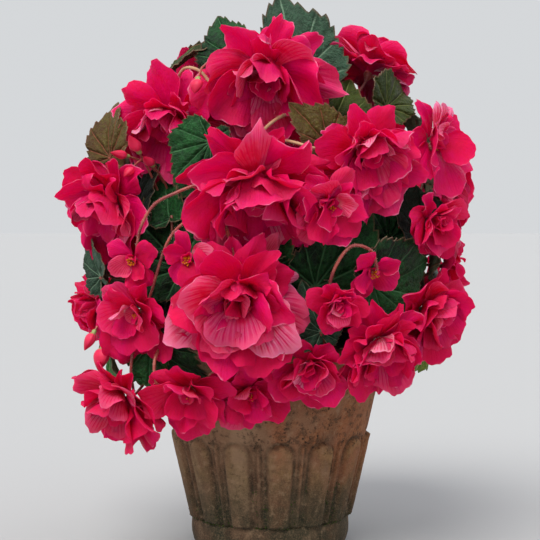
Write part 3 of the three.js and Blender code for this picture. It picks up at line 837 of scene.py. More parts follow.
@dataclass(frozen=True)
class Terracotta:
    """Old low-fired clay: brown and orange, washed by water, dark with moss where it stays damp."""

    brown: str = "6B4C39"
    tan: str = "8A6950"
    orange: str = "8F5836"
    bloom: str = "A08A74"
    dirt: str = "2B211A"
    moss: str = "2A3020"
    fired: str = "965A3E"
    pale: str = "A4866A"
    # The lighter clay that paints light on the raised lobes.
    lobe_light: str = "907850"
    foot: str = "352E22"
    smudge: str = "33271E"
    speck: str = "1F1712"
    dry: str = "A08468"
    grit: str = "A98868"

    def dress(self, name: str) -> bpy.types.Material:
        """Writes the material.

        Args:
            name: the material's name.

        Returns:
            The material.
        """
        skin = Finish(name)
        place = skin.here()
        x, _, z = skin.parts(place)
        clouds = skin.noise(place, 16, 5)
        blotches = skin.noise(place, 55, 5, 0.6)
        streaks = skin.noise(skin.stretched(place, (1, 1, 0.08)), 90, 4)
        grain = skin.noise(place, 900, 3)
        pits = skin.cells(place, 520)
        hollow, raised = skin.stored("hollow"), skin.stored("raised")
        bands = skin.noise(skin.stretched(place, (1, 1, 0.14)), 26, 2)
        mottle = skin.noise(place, 170, 4, 0.65)
        washed = skin.smooth(streaks + 0.3 * clouds, 0.42, 0.3) * skin.smooth(z, 0.09, 0.15)
        damp = skin.smooth(z, 0.085, 0.01)
        settled = hollow * skin.smooth(blotches, 0.32, 0.62) * 0.9
        grime = skin.within(settled + damp * skin.smooth(blotches, 0.3, 0.7))
        green = skin.within((damp * 1.2 + 0.5 * hollow) * skin.smooth(clouds + 0.4 * blotches, 0.55, 0.85))
        band = skin.smooth(z, 0.085, 0.105) * skin.smooth(z, 0.165, 0.125)
        smudge = skin.smooth(mottle + 0.35 * (blotches - 0.5), 0.5, 0.64)
        specks = skin.smooth(skin.noise(place, 330, 2), 0.57, 0.66) * skin.smooth(blotches, 0.4, 0.58)
        colour = skin.coats(
            skin.blend(skin.smooth(clouds, 0.35, 0.65), shade(self.brown), shade(self.tan)),
            (skin.smooth(bands + 1.2 * x, 0.5, 0.66) * 0.7, self.fired),
            (skin.smooth(bands, 0.47, 0.34) * 0.55, self.pale),
            (skin.smooth(blotches + 3 * x, 0.5, 0.8) * 0.8, self.orange),
            # Painted light: the raised lobes are lighter in patches, as light catches them.
            (raised * skin.smooth(blotches, 0.3, 0.7) * 0.55, self.lobe_light),
            (skin.smooth(streaks, 0.5, 0.75) * 0.45, self.dirt),
            (washed * 0.5, self.bloom),
            (skin.smooth(z, 0.1, 0.03) * 0.5, self.foot),
            (grime * 0.9, self.dirt),
            (green * 0.75, self.moss),
            (smudge * (0.22 + 0.4 * band), self.smudge),
            (specks * (0.35 + 0.6 * band), self.speck),
            (skin.smooth(mottle, 0.47, 0.3) * 0.35, self.dry),
            (skin.smooth(grain, 0.4, 0.75) * 0.25, self.grit),
        )
        rough = grain * 0.5 + blotches * 0.8 - specks * 0.6 + skin.smooth(pits, 0.0, 0.25) * 0.4
        skin.bump(rough, 0.55, 0.0008)
        return skin.set(
            Base_Color=colour,
            Roughness=skin.within(0.93 - 0.15 * green + 0.1 * (grain - 0.5)),
            Specular_IOR_Level=0.25,
        )


@dataclass(frozen=True)
class Crumbs:
    """A loose, crumbly or mossy surface of two shades."""

    light: str
    dark: str
    scale: float
    depth: float

    def dress(self, name: str) -> bpy.types.Material:
        """Writes the material.

        Args:
            name: the material's name.

        Returns:
            The material.
        """
        skin = Finish(name)
        place = skin.here()
        clumps = skin.noise(place, self.scale, 4, 0.6)
        grains = skin.cells(place, self.scale * 5)
        ground = skin.blend(skin.smooth(clumps, 0.35, 0.7), shade(self.dark), shade(self.light))
        colour = skin.coats(ground, (skin.smooth(grains, 0.3, 0.7) * 0.4, self.dark))
        skin.bump(clumps + grains * 0.7, 0.8, self.depth)
        return skin.set(Base_Color=colour, Roughness=0.95, Specular_IOR_Level=0.2)


@dataclass(frozen=True)
class Plain:
    """A plain soft surface for the floor."""

    tint: str

    def dress(self, name: str) -> bpy.types.Material:
        """Writes the material from its one tint."""
        return Finish(name).set(Base_Color=shade(self.tint), Roughness=0.85, Specular_IOR_Level=0.2)


CHART_SCALE = 1.6  # how many of a leaf's lengths its chart spans
CHART_SHIFT = (0.6, 0.4)  # how far a leaf is moved across and along its chart, in its lengths
VEIN_ANGLES = (0.0, 27.0, -27.0, 56.0, -56.0, 92.0, -92.0, 136.0, -136.0)
BEHIND = 9  # added to the distance from a vein for places that lie behind its root


def vein_way(angle: float) -> Span:
    """Finds how far a vein goes across and along its leaf for each step of its length."""
    return math.sin(math.radians(angle)), math.cos(math.radians(angle))


@dataclass(frozen=True)
class Tints:
    """The colours of a leaf's blade, of its sunny patches and of its veins, and how red its margin is."""

    blade: str
    second: str
    vein: str
    wear: float


# The mature blade is darkened below a leaf's own green, and the shaded kind almost to black, as painted shade
# among the blooms.
LEAF_TINTS: dict[LeafKind, Tints] = {
    LeafKind.MATURE: Tints("03180B", "25602E", "4A7A50", 0.45),
    LeafKind.SHADED: Tints("020D06", "071D0F", "14301D", 0.2),
    LeafKind.BRONZE: Tints("4E381C", "625A28", "985A44", 0.6),
    LeafKind.OLIVE: Tints("24330C", "42501A", "78804A", 0.6),
    LeafKind.GREY: Tints("10291A", "3C5E48", "7C9A80", 0.35),
    LeafKind.BRIGHT: Tints("184E1E", "2E6E26", "74984E", 0.15),
    LeafKind.YELLOWING: Tints("56701C", "7E8C2C", "AEB666", 0.1),
}


# ---------------- modelling tools


def clear_choice() -> None:
    """Deselects everything, so that an operator acts only on what is chosen next."""
    if bpy.context.object and bpy.context.object.mode != "OBJECT":
        bpy.ops.object.mode_set(mode="OBJECT")
    bpy.ops.object.select_all(action="DESELECT")


def hold(obj: bpy.types.Object) -> bpy.types.Object:
    """Selects one object alone and makes it active."""
    clear_choice()
    obj.select_set(True)
    bpy.context.view_layer.objects.active = obj
    return obj


def apply(obj: bpy.types.Object, kind: str, **settings: Any) -> None:
    """Adds a modifier and applies it.

    Args:
        obj: the object.
        kind: the modifier's type.
        **settings: its properties.
    """
    hold(obj)
    modifier = obj.modifiers.new(kind.title(), kind)
    for name, value in settings.items():
        setattr(modifier, name, value)
    bpy.ops.object.modifier_apply(modifier=modifier.name)


def soften(obj: bpy.types.Object, degrees: float) -> None:
    """Shades smooth, except across edges that are sharper than an angle."""
    hold(obj)
    bpy.ops.object.shade_smooth_by_angle(angle=math.radians(degrees))


def settle(obj: bpy.types.Object, name: str, slot: str | None, *nodes: str) -> bpy.types.Object:
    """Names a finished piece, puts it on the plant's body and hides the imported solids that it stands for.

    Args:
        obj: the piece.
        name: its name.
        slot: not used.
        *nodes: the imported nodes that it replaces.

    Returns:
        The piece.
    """
    obj.name = name
    obj.data.name = name
    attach(obj, "root")
    if nodes:
        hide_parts(*nodes)
    LOG.info("%s: %d faces", name, len(obj.data.polygons))
    return obj


def present(name: str, data: bpy.types.Mesh | bpy.types.Curve) -> bpy.types.Object:
    """Makes an object of a mesh or curve and puts it in the scene."""
    obj = bpy.data.objects.new(name, data)
    bpy.context.scene.collection.objects.link(obj)
    return obj


def places_of(mesh: bpy.types.Mesh) -> np.ndarray:
    """Reads where a mesh's vertices are, one to a row."""
    places = np.empty(len(mesh.vertices) * 3)
    mesh.vertices.foreach_get("co", places)
    return places.reshape(-1, 3)


@dataclass
class SheetPattern:
    """A flat square sheet, modelled once, whose copies are shaped into petals or leaf blades."""

    columns: int
    rows: int
    across: np.ndarray = field(init=False)
    along: np.ndarray = field(init=False)
    faces: np.ndarray = field(init=False)

    def __post_init__(self) -> None:
        """Models the sheet, reads it, and takes it away."""
        clear_choice()
        bpy.ops.mesh.primitive_grid_add(x_subdivisions=self.columns, y_subdivisions=self.rows, size=2)
        sheet = bpy.context.object
        places = places_of(sheet.data)
        self.across, self.along = places[:, 0].copy(), (places[:, 1] + 1) / 2
        corners = np.empty(len(sheet.data.polygons) * 4, int)
        sheet.data.polygons.foreach_get("vertices", corners)
        self.faces = corners.reshape(-1, 4)
        bpy.data.objects.remove(sheet)


class Sheaf:
    """Many thin sheets that are gathered into one mesh, with their charts and colours."""

    def __init__(self) -> None:
        """Starts with nothing."""
        self.points: list[np.ndarray] = []
        self.faces: list[np.ndarray] = []
        self.charts: dict[str, list[np.ndarray]] = {}
        self.tints: dict[str, list[np.ndarray]] = {}
        self.count = 0

    def add(
        self,
        pattern: SheetPattern,
        points: np.ndarray,
        charts: dict[str, np.ndarray],
        tints: dict[str, Colour] | None = None,
    ) -> None:
        """Adds one sheet.

        Args:
            pattern: the flat sheet that it is a copy of.
            points: its corners in millimetres, in the pattern's order.
            charts: two coordinates for each corner, by the chart's name.
            tints: one colour for the whole sheet, by name.
        """
        self.points.append(points)
        self.faces.append(pattern.faces + self.count)
        self.count += len(points)
        for name, values in charts.items():
            self.charts.setdefault(name, []).append(values)
        for name, tint in (tints or {}).items():
            self.tints.setdefault(name, []).append(np.tile((*tint, 1.0), (len(points), 1)))

    def bind(self, thick: float, skins: Sequence[bpy.types.Material]) -> bpy.types.Object:
        """Makes one object of the sheets, with a thickness.

        Args:
            thick: millimetres.
            skins: the materials of the upper face, the back and the edge.

        Returns:
            The object.
        """
        mesh = bpy.data.meshes.new("sheaf")
        faces = np.concatenate(self.faces)
        mesh.from_pydata(np.concatenate(self.points) * MM, [], faces.tolist())
        corners = faces.ravel()
        for name, values in self.charts.items():
            mesh.uv_layers.new(name=name).data.foreach_set("uv", np.concatenate(values)[corners].ravel())
        for name, values in self.tints.items():
            layer = mesh.attributes.new(name, "FLOAT_COLOR", "POINT")
            layer.data.foreach_set("color", np.concatenate(values).ravel())
        for skin in skins:
            mesh.materials.append(skin)
        obj = present("sheaf", mesh)
        edge = len(skins) - 1
        apply(obj, "SOLIDIFY", thickness=thick * MM, offset=0, material_offset=1, material_offset_rim=edge)
        soften(obj, CREASE)
        return obj


@dataclass
class Shoots:
    """Round stems and stalks, gathered into one object."""

    skins: Sequence[bpy.types.Material]
    roundness: int = 3
    curve: bpy.types.Curve = field(init=False)

    def __post_init__(self) -> None:
        """Starts an empty round curve."""
        self.curve = bpy.data.curves.new("shoots", "CURVE")
        self.curve.dimensions = "3D"
        self.curve.bevel_depth = MM
        self.curve.bevel_resolution = self.roundness
        self.curve.use_fill_caps = True
        for skin in self.skins:
            self.curve.materials.append(skin)

    def grow(self, points: np.ndarray, radii: Iterable[float], kind: StalkKind) -> None:
        """Adds one stem or stalk.

        Args:
            points: its middle line, in millimetres.
            radii: the radius at each point.
            kind: its skin.
        """
        line = self.curve.splines.new("POLY")
        line.points.add(len(points) - 1)
        line.points.foreach_set("co", np.column_stack([points * MM, np.ones(len(points))]).ravel())
        line.points.foreach_set("radius", np.fromiter(radii, float))
        line.material_index = kind.value
        line.use_smooth = True

    def finish(self) -> bpy.types.Object:
        """Turns the curve into a mesh and returns its object."""
        hold(present("shoots", self.curve))
        bpy.ops.object.convert(target="MESH")
        soften(bpy.context.object, CREASE)
        return bpy.context.object


class Copies:
    """Many copies of one small shape, gathered into one mesh."""

    def __init__(self, model: bpy.types.Object) -> None:
        """Reads the modelled shape, in its own units, and takes it away."""
        self.shape = places_of(model.data)
        self.corners = [list(face.vertices) for face in model.data.polygons]
        self.points: list[np.ndarray] = []
        bpy.data.objects.remove(model)

    def place(self, axes: np.ndarray, origin: np.ndarray) -> None:
        """Adds a copy.

        Args:
            axes: three rows that its own directions turn and stretch to, in millimetres.
            origin: where its own origin goes, in millimetres.
        """
        self.points.append(self.shape @ axes + origin)

    def bind(self, skin: bpy.types.Material, smooth: float) -> bpy.types.Object:
        """Makes one object of the copies.

        Args:
            skin: its material.
            smooth: the angle up to which its edges are shaded smooth, in degrees.

        Returns:
            The object.
        """
        count = len(self.shape)
        starts = range(0, count * len(self.points), count)
        faces = [[start + corner for corner in face] for start in starts for face in self.corners]
        mesh = bpy.data.meshes.new("copies")
        mesh.from_pydata(np.concatenate(self.points) * MM, [], faces)
        mesh.materials.append(skin)
        obj = present("copies", mesh)
        soften(obj, smooth)
        return obj


def upright_axes(way: np.ndarray, chance: np.random.Generator) -> np.ndarray:
    """Finds three square directions whose last is the way, turned at random about it."""
    side = unit(np.cross(way, chance.normal(0, 1, 3)))
    return np.array([side, np.cross(way, side), way])


# ---------------- the pot


@dataclass
class Pot:
    """The round pot: a spun wall with a bead and rim, and fourteen moulded lobes with ribs between.

    The wall runs straight between two rings, which are a radius and a height. An edge of the moulding
    is where it starts outside the form, and how wide it is. The slant is the wall's length to its height.
    """

    columns: int = 504
    wall_low: Span = (69.5, 24)
    wall_high: Span = (104, 174)
    slant: float = 1.026
    foot_radius: float = 60
    lobes: int = 14
    turn: float = 6
    band_low: float = 26
    band_high: float = 100
    foot_half: float = 9.5
    head_half: float = 11.5
    proud: float = 4.0
    lobe_edge: Span = (-0.8, 3.6)
    rib_half: float = 1.7
    rib_proud: float = 1.8
    rib_edge: Span = (-0.7, 1.6)
    groove_deep: float = 0.7
    drain: float = 8
    grain_size: float = 0.006
    grain_deep: float = 0.0006

    def wall_radius(self, height: float) -> float:
        """The outer radius of the plain wall at a height."""
        (low_radius, low), (high_radius, high) = self.wall_low, self.wall_high
        slope = (high_radius - low_radius) / (high - low)
        return low_radius + (height - low) * slope

    def profile(self) -> list[tuple[float, float]]:
        """Lists the radius and height of each ring, from the drain hole round the wall and back."""
        drain_edge = [(self.drain, 12.0), (self.drain + 0.6, 1.0), (self.drain + 2, 0.4)]
        floor = [(40, 0.3), (60, 0.1)]
        foot = [(66.5, 0.0), (68, 0.8), (69, 3), (70.6, 9), (71, 14), (70.8, 19), (70.2, 22.6)]
        ledge = [(69.6, 23.8), (68.6, 24.6), (68.9, 25.4)]
        moulded, plain = np.arange(26, 101.5, 1.05), np.arange(103, 174, 4.5)
        wall = [(self.wall_radius(z), float(z)) for z in np.concatenate([moulded, plain])]
        bead = [(104.1, 173.8), (105.6, 174.2), (107, 175.4), (107.5, 177), (107.1, 178.8), (106, 180.2)]
        neck = [(105.2, 181.0), (105.4, 181.8), (107.6, 182.4)]
        rim = [(109.3, 183.2), (110.2, 184.8), (110.6, 190), (110.9, 196), (110.5, 198.3), (109.2, 199.7)]
        lip = [(107, 200), (104.5, 200), (102.4, 199.4), (101.2, 197.8), (100.6, 195)]
        inside = [(97, 178), (90, 150), (76, 90), (60.5, 22), (57.7, 14.5), (55, 12.4), (40, 12), (20, 12)]
        return drain_edge + floor + foot + ledge + wall + bead + neck + rim + lip + inside

    def spin(self) -> bpy.types.Object:
        """Draws the profile and spins it into the closed shell."""
        mesh = bpy.data.meshes.new("pot")
        line = [(radius * MM, 0.0, height * MM) for radius, height in self.profile()]
        count = len(line)
        mesh.from_pydata(line, [(i, (i + 1) % count) for i in range(count)], [])
        shell = hold(present("pot", mesh))
        bpy.ops.object.mode_set(mode="EDIT")
        bpy.ops.mesh.select_all(action="SELECT")
        bpy.ops.mesh.spin(steps=self.columns, angle=math.tau, center=(0, 0, 0), axis=(0, 0, 1))
        bpy.ops.mesh.select_all(action="SELECT")
        bpy.ops.mesh.remove_doubles(threshold=2e-5)
        bpy.ops.mesh.normals_make_consistent(inside=False)
        bpy.ops.object.mode_set(mode="OBJECT")
        return shell

    def relief(self, places: np.ndarray) -> tuple[np.ndarray, np.ndarray, np.ndarray]:
        """Works out the moulding on the outside of the wall.

        Args:
            places: where to look, in millimetres, one to a row.

        Returns:
            How far each place stands proud, how far it lies in a groove, and how far it is on a lobe.
        """
        x, y, z = places.T
        radius = np.hypot(x, y)
        pitch = math.tau / self.lobes
        azimuth = np.arctan2(x, -y) - math.radians(self.turn)
        off = (azimuth + pitch / 2) % pitch - pitch / 2
        across = np.abs(off) * radius
        up = (z - self.band_low) * self.slant
        shoulder = (self.band_high - self.band_low) * self.slant - self.head_half
        half = self.foot_half + (self.head_half - self.foot_half) * np.clip(up / shoulder, 0, 1)
        inside = np.where(up < shoulder, half - across, self.head_half - np.hypot(across, up - shoulder))
        inside = np.minimum(inside, up + 2.5)
        step = ease(inside, *self.lobe_edge)
        crown = 1 - 0.22 * np.clip(across / half, 0, 1) ** 2
        rib_off = (pitch / 2 - np.abs(off)) * radius
        rib_end = np.minimum(up + 1, self.band_high - self.band_low - up)
        rib_in = np.minimum(self.rib_half - rib_off, rib_end)
        rib = ease(rib_in, *self.rib_edge)
        outer = (radius > 66.5 + (z - 24) * 0.2) & (z > 24) & (z < 130)
        groove = np.clip(ridge(inside + 1.0, 1.5) + 0.7 * ridge(rib_in + 0.9, 1.2), 0, 1)
        proud = self.proud * step * crown + self.rib_proud * rib - self.groove_deep * groove
        return proud * outer, groove * outer, step * outer

    def mould(self, shell: bpy.types.Object) -> None:
        """Raises the lobes and ribs on the shell and wears it a little.

        Args:
            shell: the spun pot.
        """
        mesh = shell.data
        places = places_of(mesh) / MM
        proud, groove, lobe = self.relief(places)
        x, y, z = places.T
        radius = np.hypot(x, y)
        turn = np.arctan2(y, x)
        uneven = 0.35 * np.sin(3 * turn + z / 40) + 0.2 * np.sin(7 * turn + z / 23 + 1)
        wear_and_rim_highlight = np.where(radius > self.foot_radius, uneven * np.clip(z / 30, 0, 1), 0)
        scale = (radius + proud + wear_and_rim_highlight) / np.maximum(radius, 1)
        places[:, 0] *= scale
        places[:, 1] *= scale
        ledge = ridge(z - 25.2, 1.6) * (radius > self.foot_radius) + ridge(z - 181, 1.3)
        mesh.vertices.foreach_set("co", (places * MM).ravel())
        for name, values in (("hollow", np.clip(groove + ledge, 0, 1)), ("raised", lobe)):
            mesh.attributes.new(name, "FLOAT", "POINT").data.foreach_set("value", values)
        mesh.update()

    def pit(self, shell: bpy.types.Object) -> None:
        """Roughens the clay with a shallow grain.

        Args:
            shell: the moulded pot.
        """
        clay = bpy.data.textures.new("clay_grain", "CLOUDS")
        clay.noise_scale = self.grain_size
        clay.noise_depth = 3
        apply(
            shell,
            "DISPLACE",
            texture=clay,
            strength=self.grain_deep,
            mid_level=0.5,
            texture_coords="LOCAL",
        )

    def build(self) -> None:
        """Builds the pot and puts it in its node's place."""
        shell = self.spin()
        self.mould(shell)
        self.pit(shell)
        shell.data.materials.append(Terracotta().dress("old_terracotta"))
        soften(shell, 70)
        settle(shell, "pot_shell", "terracotta", "pot")
        Moss().build(self)


@dataclass
class Moss:
    """Small moss tufts that have settled in the grooves and on the ledge low on the pot."""

    tufts: int = 900
    lowest: float = 22
    climb: float = 44
    thinning: float = 2.4
    ledge_top: float = 26.5
    foot_top: float = 25.5
    foot_radius: float = 69.2
    size: Span = (0.7, 1.7)
    stretch: Point = (1.3, 1.0, 0.55)
    proud: float = 0.1
    seed: int = 12

    def tuft(self) -> bpy.types.Object:
        """Models one tuft, one unit across."""
        clear_choice()
        bpy.ops.mesh.primitive_ico_sphere_add(subdivisions=1, radius=0.5)
        return bpy.context.object

    def build(self, pot: Pot) -> None:
        """Presses the tufts into the clay, where its mouldings are hollow.

        Args:
            pot: the pot that they grow on.
        """
        copies = Copies(self.tuft())
        chance = np.random.default_rng(self.seed)
        while len(copies.points) < self.tufts:
            turn = chance.uniform(0, math.tau)
            height = self.lowest + self.climb * chance.random() ** self.thinning
            radius = pot.wall_radius(height) if height > self.foot_top else self.foot_radius
            out = np.array([math.cos(turn), math.sin(turn), 0.0])
            place = np.array([math.cos(turn) * radius, math.sin(turn) * radius, height])
            proud, groove, _ = (float(part[0]) for part in pot.relief(place[None, :]))
            patch = 0.5 + 0.5 * math.sin(5 * turn + 1) * math.sin(3 * turn + height / 14)
            ledge = 1.0 if height < self.ledge_top else 0.0
            if chance.random() > max(groove, ledge) * patch:
                continue
            size = chance.uniform(*self.size)
            axes = upright_axes(out, chance) * size * np.array(self.stretch)[:, None]
            copies.place(axes, place + out * (proud + self.proud))
        tufts = copies.bind(Crumbs("5E6A34", "343E1C", 700, 0.0006).dress("moss_green"), 80)
        settle(tufts, "moss_tufts", None)


@dataclass
class Soil:
    """The potting soil: a body that fills the pot, with a crumbly top."""

    top: float = 180
    top_radius: float = 94.4
    bottom_radius: float = 56.4
    bottom: float = 12.3
    dome: float = 3
    sides: int = 96
    rings: int = 24
    crumb_size: float = 0.004
    crumb_deep: float = 0.004

    def build(self) -> None:
        """Builds the soil and puts it in its node's place."""
        clear_choice()
        bpy.ops.mesh.primitive_circle_add(
            vertices=self.sides,
            radius=self.bottom_radius * MM,
            fill_type="NGON",
            location=(0, 0, self.bottom * MM),
        )
        soil = bpy.context.object
        bpy.ops.object.transform_apply(location=True, rotation=True, scale=True)
        bpy.ops.object.mode_set(mode="EDIT")
        bpy.ops.mesh.select_all(action="SELECT")
        rise = (self.top - self.bottom) * MM
        middle = (0, 0, self.top * MM)
        bpy.ops.mesh.extrude_region_move(TRANSFORM_OT_translate={"value": (0, 0, rise)})
        grow = self.top_radius / self.bottom_radius
        bpy.ops.transform.resize(value=(grow, grow, 1), center_override=middle)
        step = self.dome * MM / self.rings
        for ring in range(1, self.rings):
            radius = self.top_radius * (1 - ring / self.rings)
            previous = self.top_radius * (1 - (ring - 1) / self.rings)
            shrink = radius / previous
            bpy.ops.mesh.extrude_region_move(TRANSFORM_OT_translate={"value": (0, 0, step)})
            bpy.ops.transform.resize(value=(shrink, shrink, 1), center_override=middle)
        bpy.ops.mesh.select_all(action="SELECT")
        bpy.ops.mesh.normals_make_consistent(inside=False)
        bpy.ops.object.mode_set(mode="OBJECT")
        lumps = bpy.data.textures.new("soil_crumbs", "CLOUDS")
        lumps.noise_scale = self.crumb_size
        places = places_of(soil.data)
        inner = np.hypot(places[:, 0], places[:, 1]) < (self.top_radius - 2) * MM
        loose = np.flatnonzero(inner & (places[:, 2] > (self.top - 1) * MM))
        soil.vertex_groups.new(name="top").add(loose.tolist(), 1, "ADD")
        apply(
            soil,
            "DISPLACE",
            texture=lumps,
            strength=self.crumb_deep,
            mid_level=0.6,
            direction="Z",
            vertex_group="top",
            texture_coords="LOCAL",
        )
        soil.data.materials.append(Crumbs("4A382B", "1A120D", 260, 0.0012).dress("potting_soil"))
        soften(soil, 60)
        settle(soil, "soil_body", "soil", "soil")


# ---------------- blooms


@dataclass(frozen=True)
class Whorl:
    """Petals that open alike. Lengths are shares of the bloom's radius, widths of the petal's length.

    The lean is the angle from the bloom's axis at the petal's root and tip, in degrees, and the cup
    the radius of its sideways curve as a share of its length, which is negative where it folds back.
    """

    count: int
    length: float
    half_width: float
    lean: tuple[float, float]
    cup: float
    ruffle: float
    height: float
    root: float
    hang: float
    point: float = 0.0


CORE = Whorl(4, 0.34, 0.60, (14, 56), 1.2, 0.060, 0.17, 0.01, 0.4)  # small petals round the middle
WHORLS: dict[Form, tuple[Whorl, ...]] = {
    Form.DOUBLE: (
        Whorl(7, 1.12, 0.40, (70, 102), -1.8, 0.060, 0.10, 0.08, 0.55, 0.22),
        Whorl(6, 1.08, 0.46, (58, 88), -3.0, 0.070, 0.15, 0.09, 1.0, 0.12),
        Whorl(5, 0.98, 0.50, (44, 76), 3.0, 0.080, 0.20, 0.10, 1.3, 0.05),
        Whorl(5, 0.80, 0.50, (28, 64), 1.6, 0.085, 0.26, 0.10, 1.5),
        Whorl(4, 0.60, 0.50, (8, 50), 1.0, 0.080, 0.30, 0.08, 1.5),
        Whorl(3, 0.40, 0.50, (-10, 30), 0.5, 0.070, 0.34, 0.03, 1.2),
        CORE,
    ),
    Form.DRAPED: (
        Whorl(8, 1.16, 0.35, (74, 106), -1.8, 0.055, 0.09, 0.08, 0.45, 0.30),
        Whorl(8, 1.10, 0.42, (62, 94), -3.0, 0.065, 0.14, 0.10, 0.95, 0.18),
        Whorl(7, 1.02, 0.46, (46, 84), 3.0, 0.080, 0.20, 0.13, 1.5, 0.08),
        Whorl(6, 0.90, 0.50, (28, 74), 2.0, 0.085, 0.28, 0.17, 2.0),
        Whorl(5, 0.72, 0.54, (8, 62), 1.6, 0.085, 0.36, 0.20, 2.4),
        Whorl(4, 0.50, 0.52, (-4, 44), 0.8, 0.080, 0.30, 0.05, 1.0),
        CORE,
    ),
    Form.ROSETTE: (
        Whorl(6, 1.06, 0.48, (62, 94), -3.0, 0.055, 0.14, 0.07, 0.9),
        Whorl(5, 0.92, 0.50, (42, 74), 1.6, 0.060, 0.18, 0.08, 0.9),
        Whorl(5, 0.78, 0.50, (24, 54), 0.9, 0.060, 0.22, 0.08, 0.8),
        Whorl(4, 0.62, 0.50, (8, 34), 0.6, 0.055, 0.24, 0.05, 0.6),
        Whorl(3, 0.46, 0.48, (-6, 14), 0.35, 0.050, 0.26, 0.02, 0.4),
    ),
    Form.HALF: (
        Whorl(6, 1.14, 0.44, (66, 100), -2.4, 0.060, 0.13, 0.08, 0.8, 0.15),
        Whorl(5, 1.00, 0.50, (48, 82), 3.0, 0.070, 0.19, 0.09, 1.1),
        Whorl(3, 0.70, 0.46, (28, 66), 1.2, 0.070, 0.24, 0.09, 1.0),
        CORE,
    ),
    Form.SINGLE: (
        Whorl(3, 1.12, 0.52, (62, 96), -3.0, 0.050, 0.15, 0.07, 0.9),
        Whorl(2, 0.90, 0.42, (50, 80), 2.0, 0.050, 0.18, 0.06, 0.6),
        CORE,
    ),
}


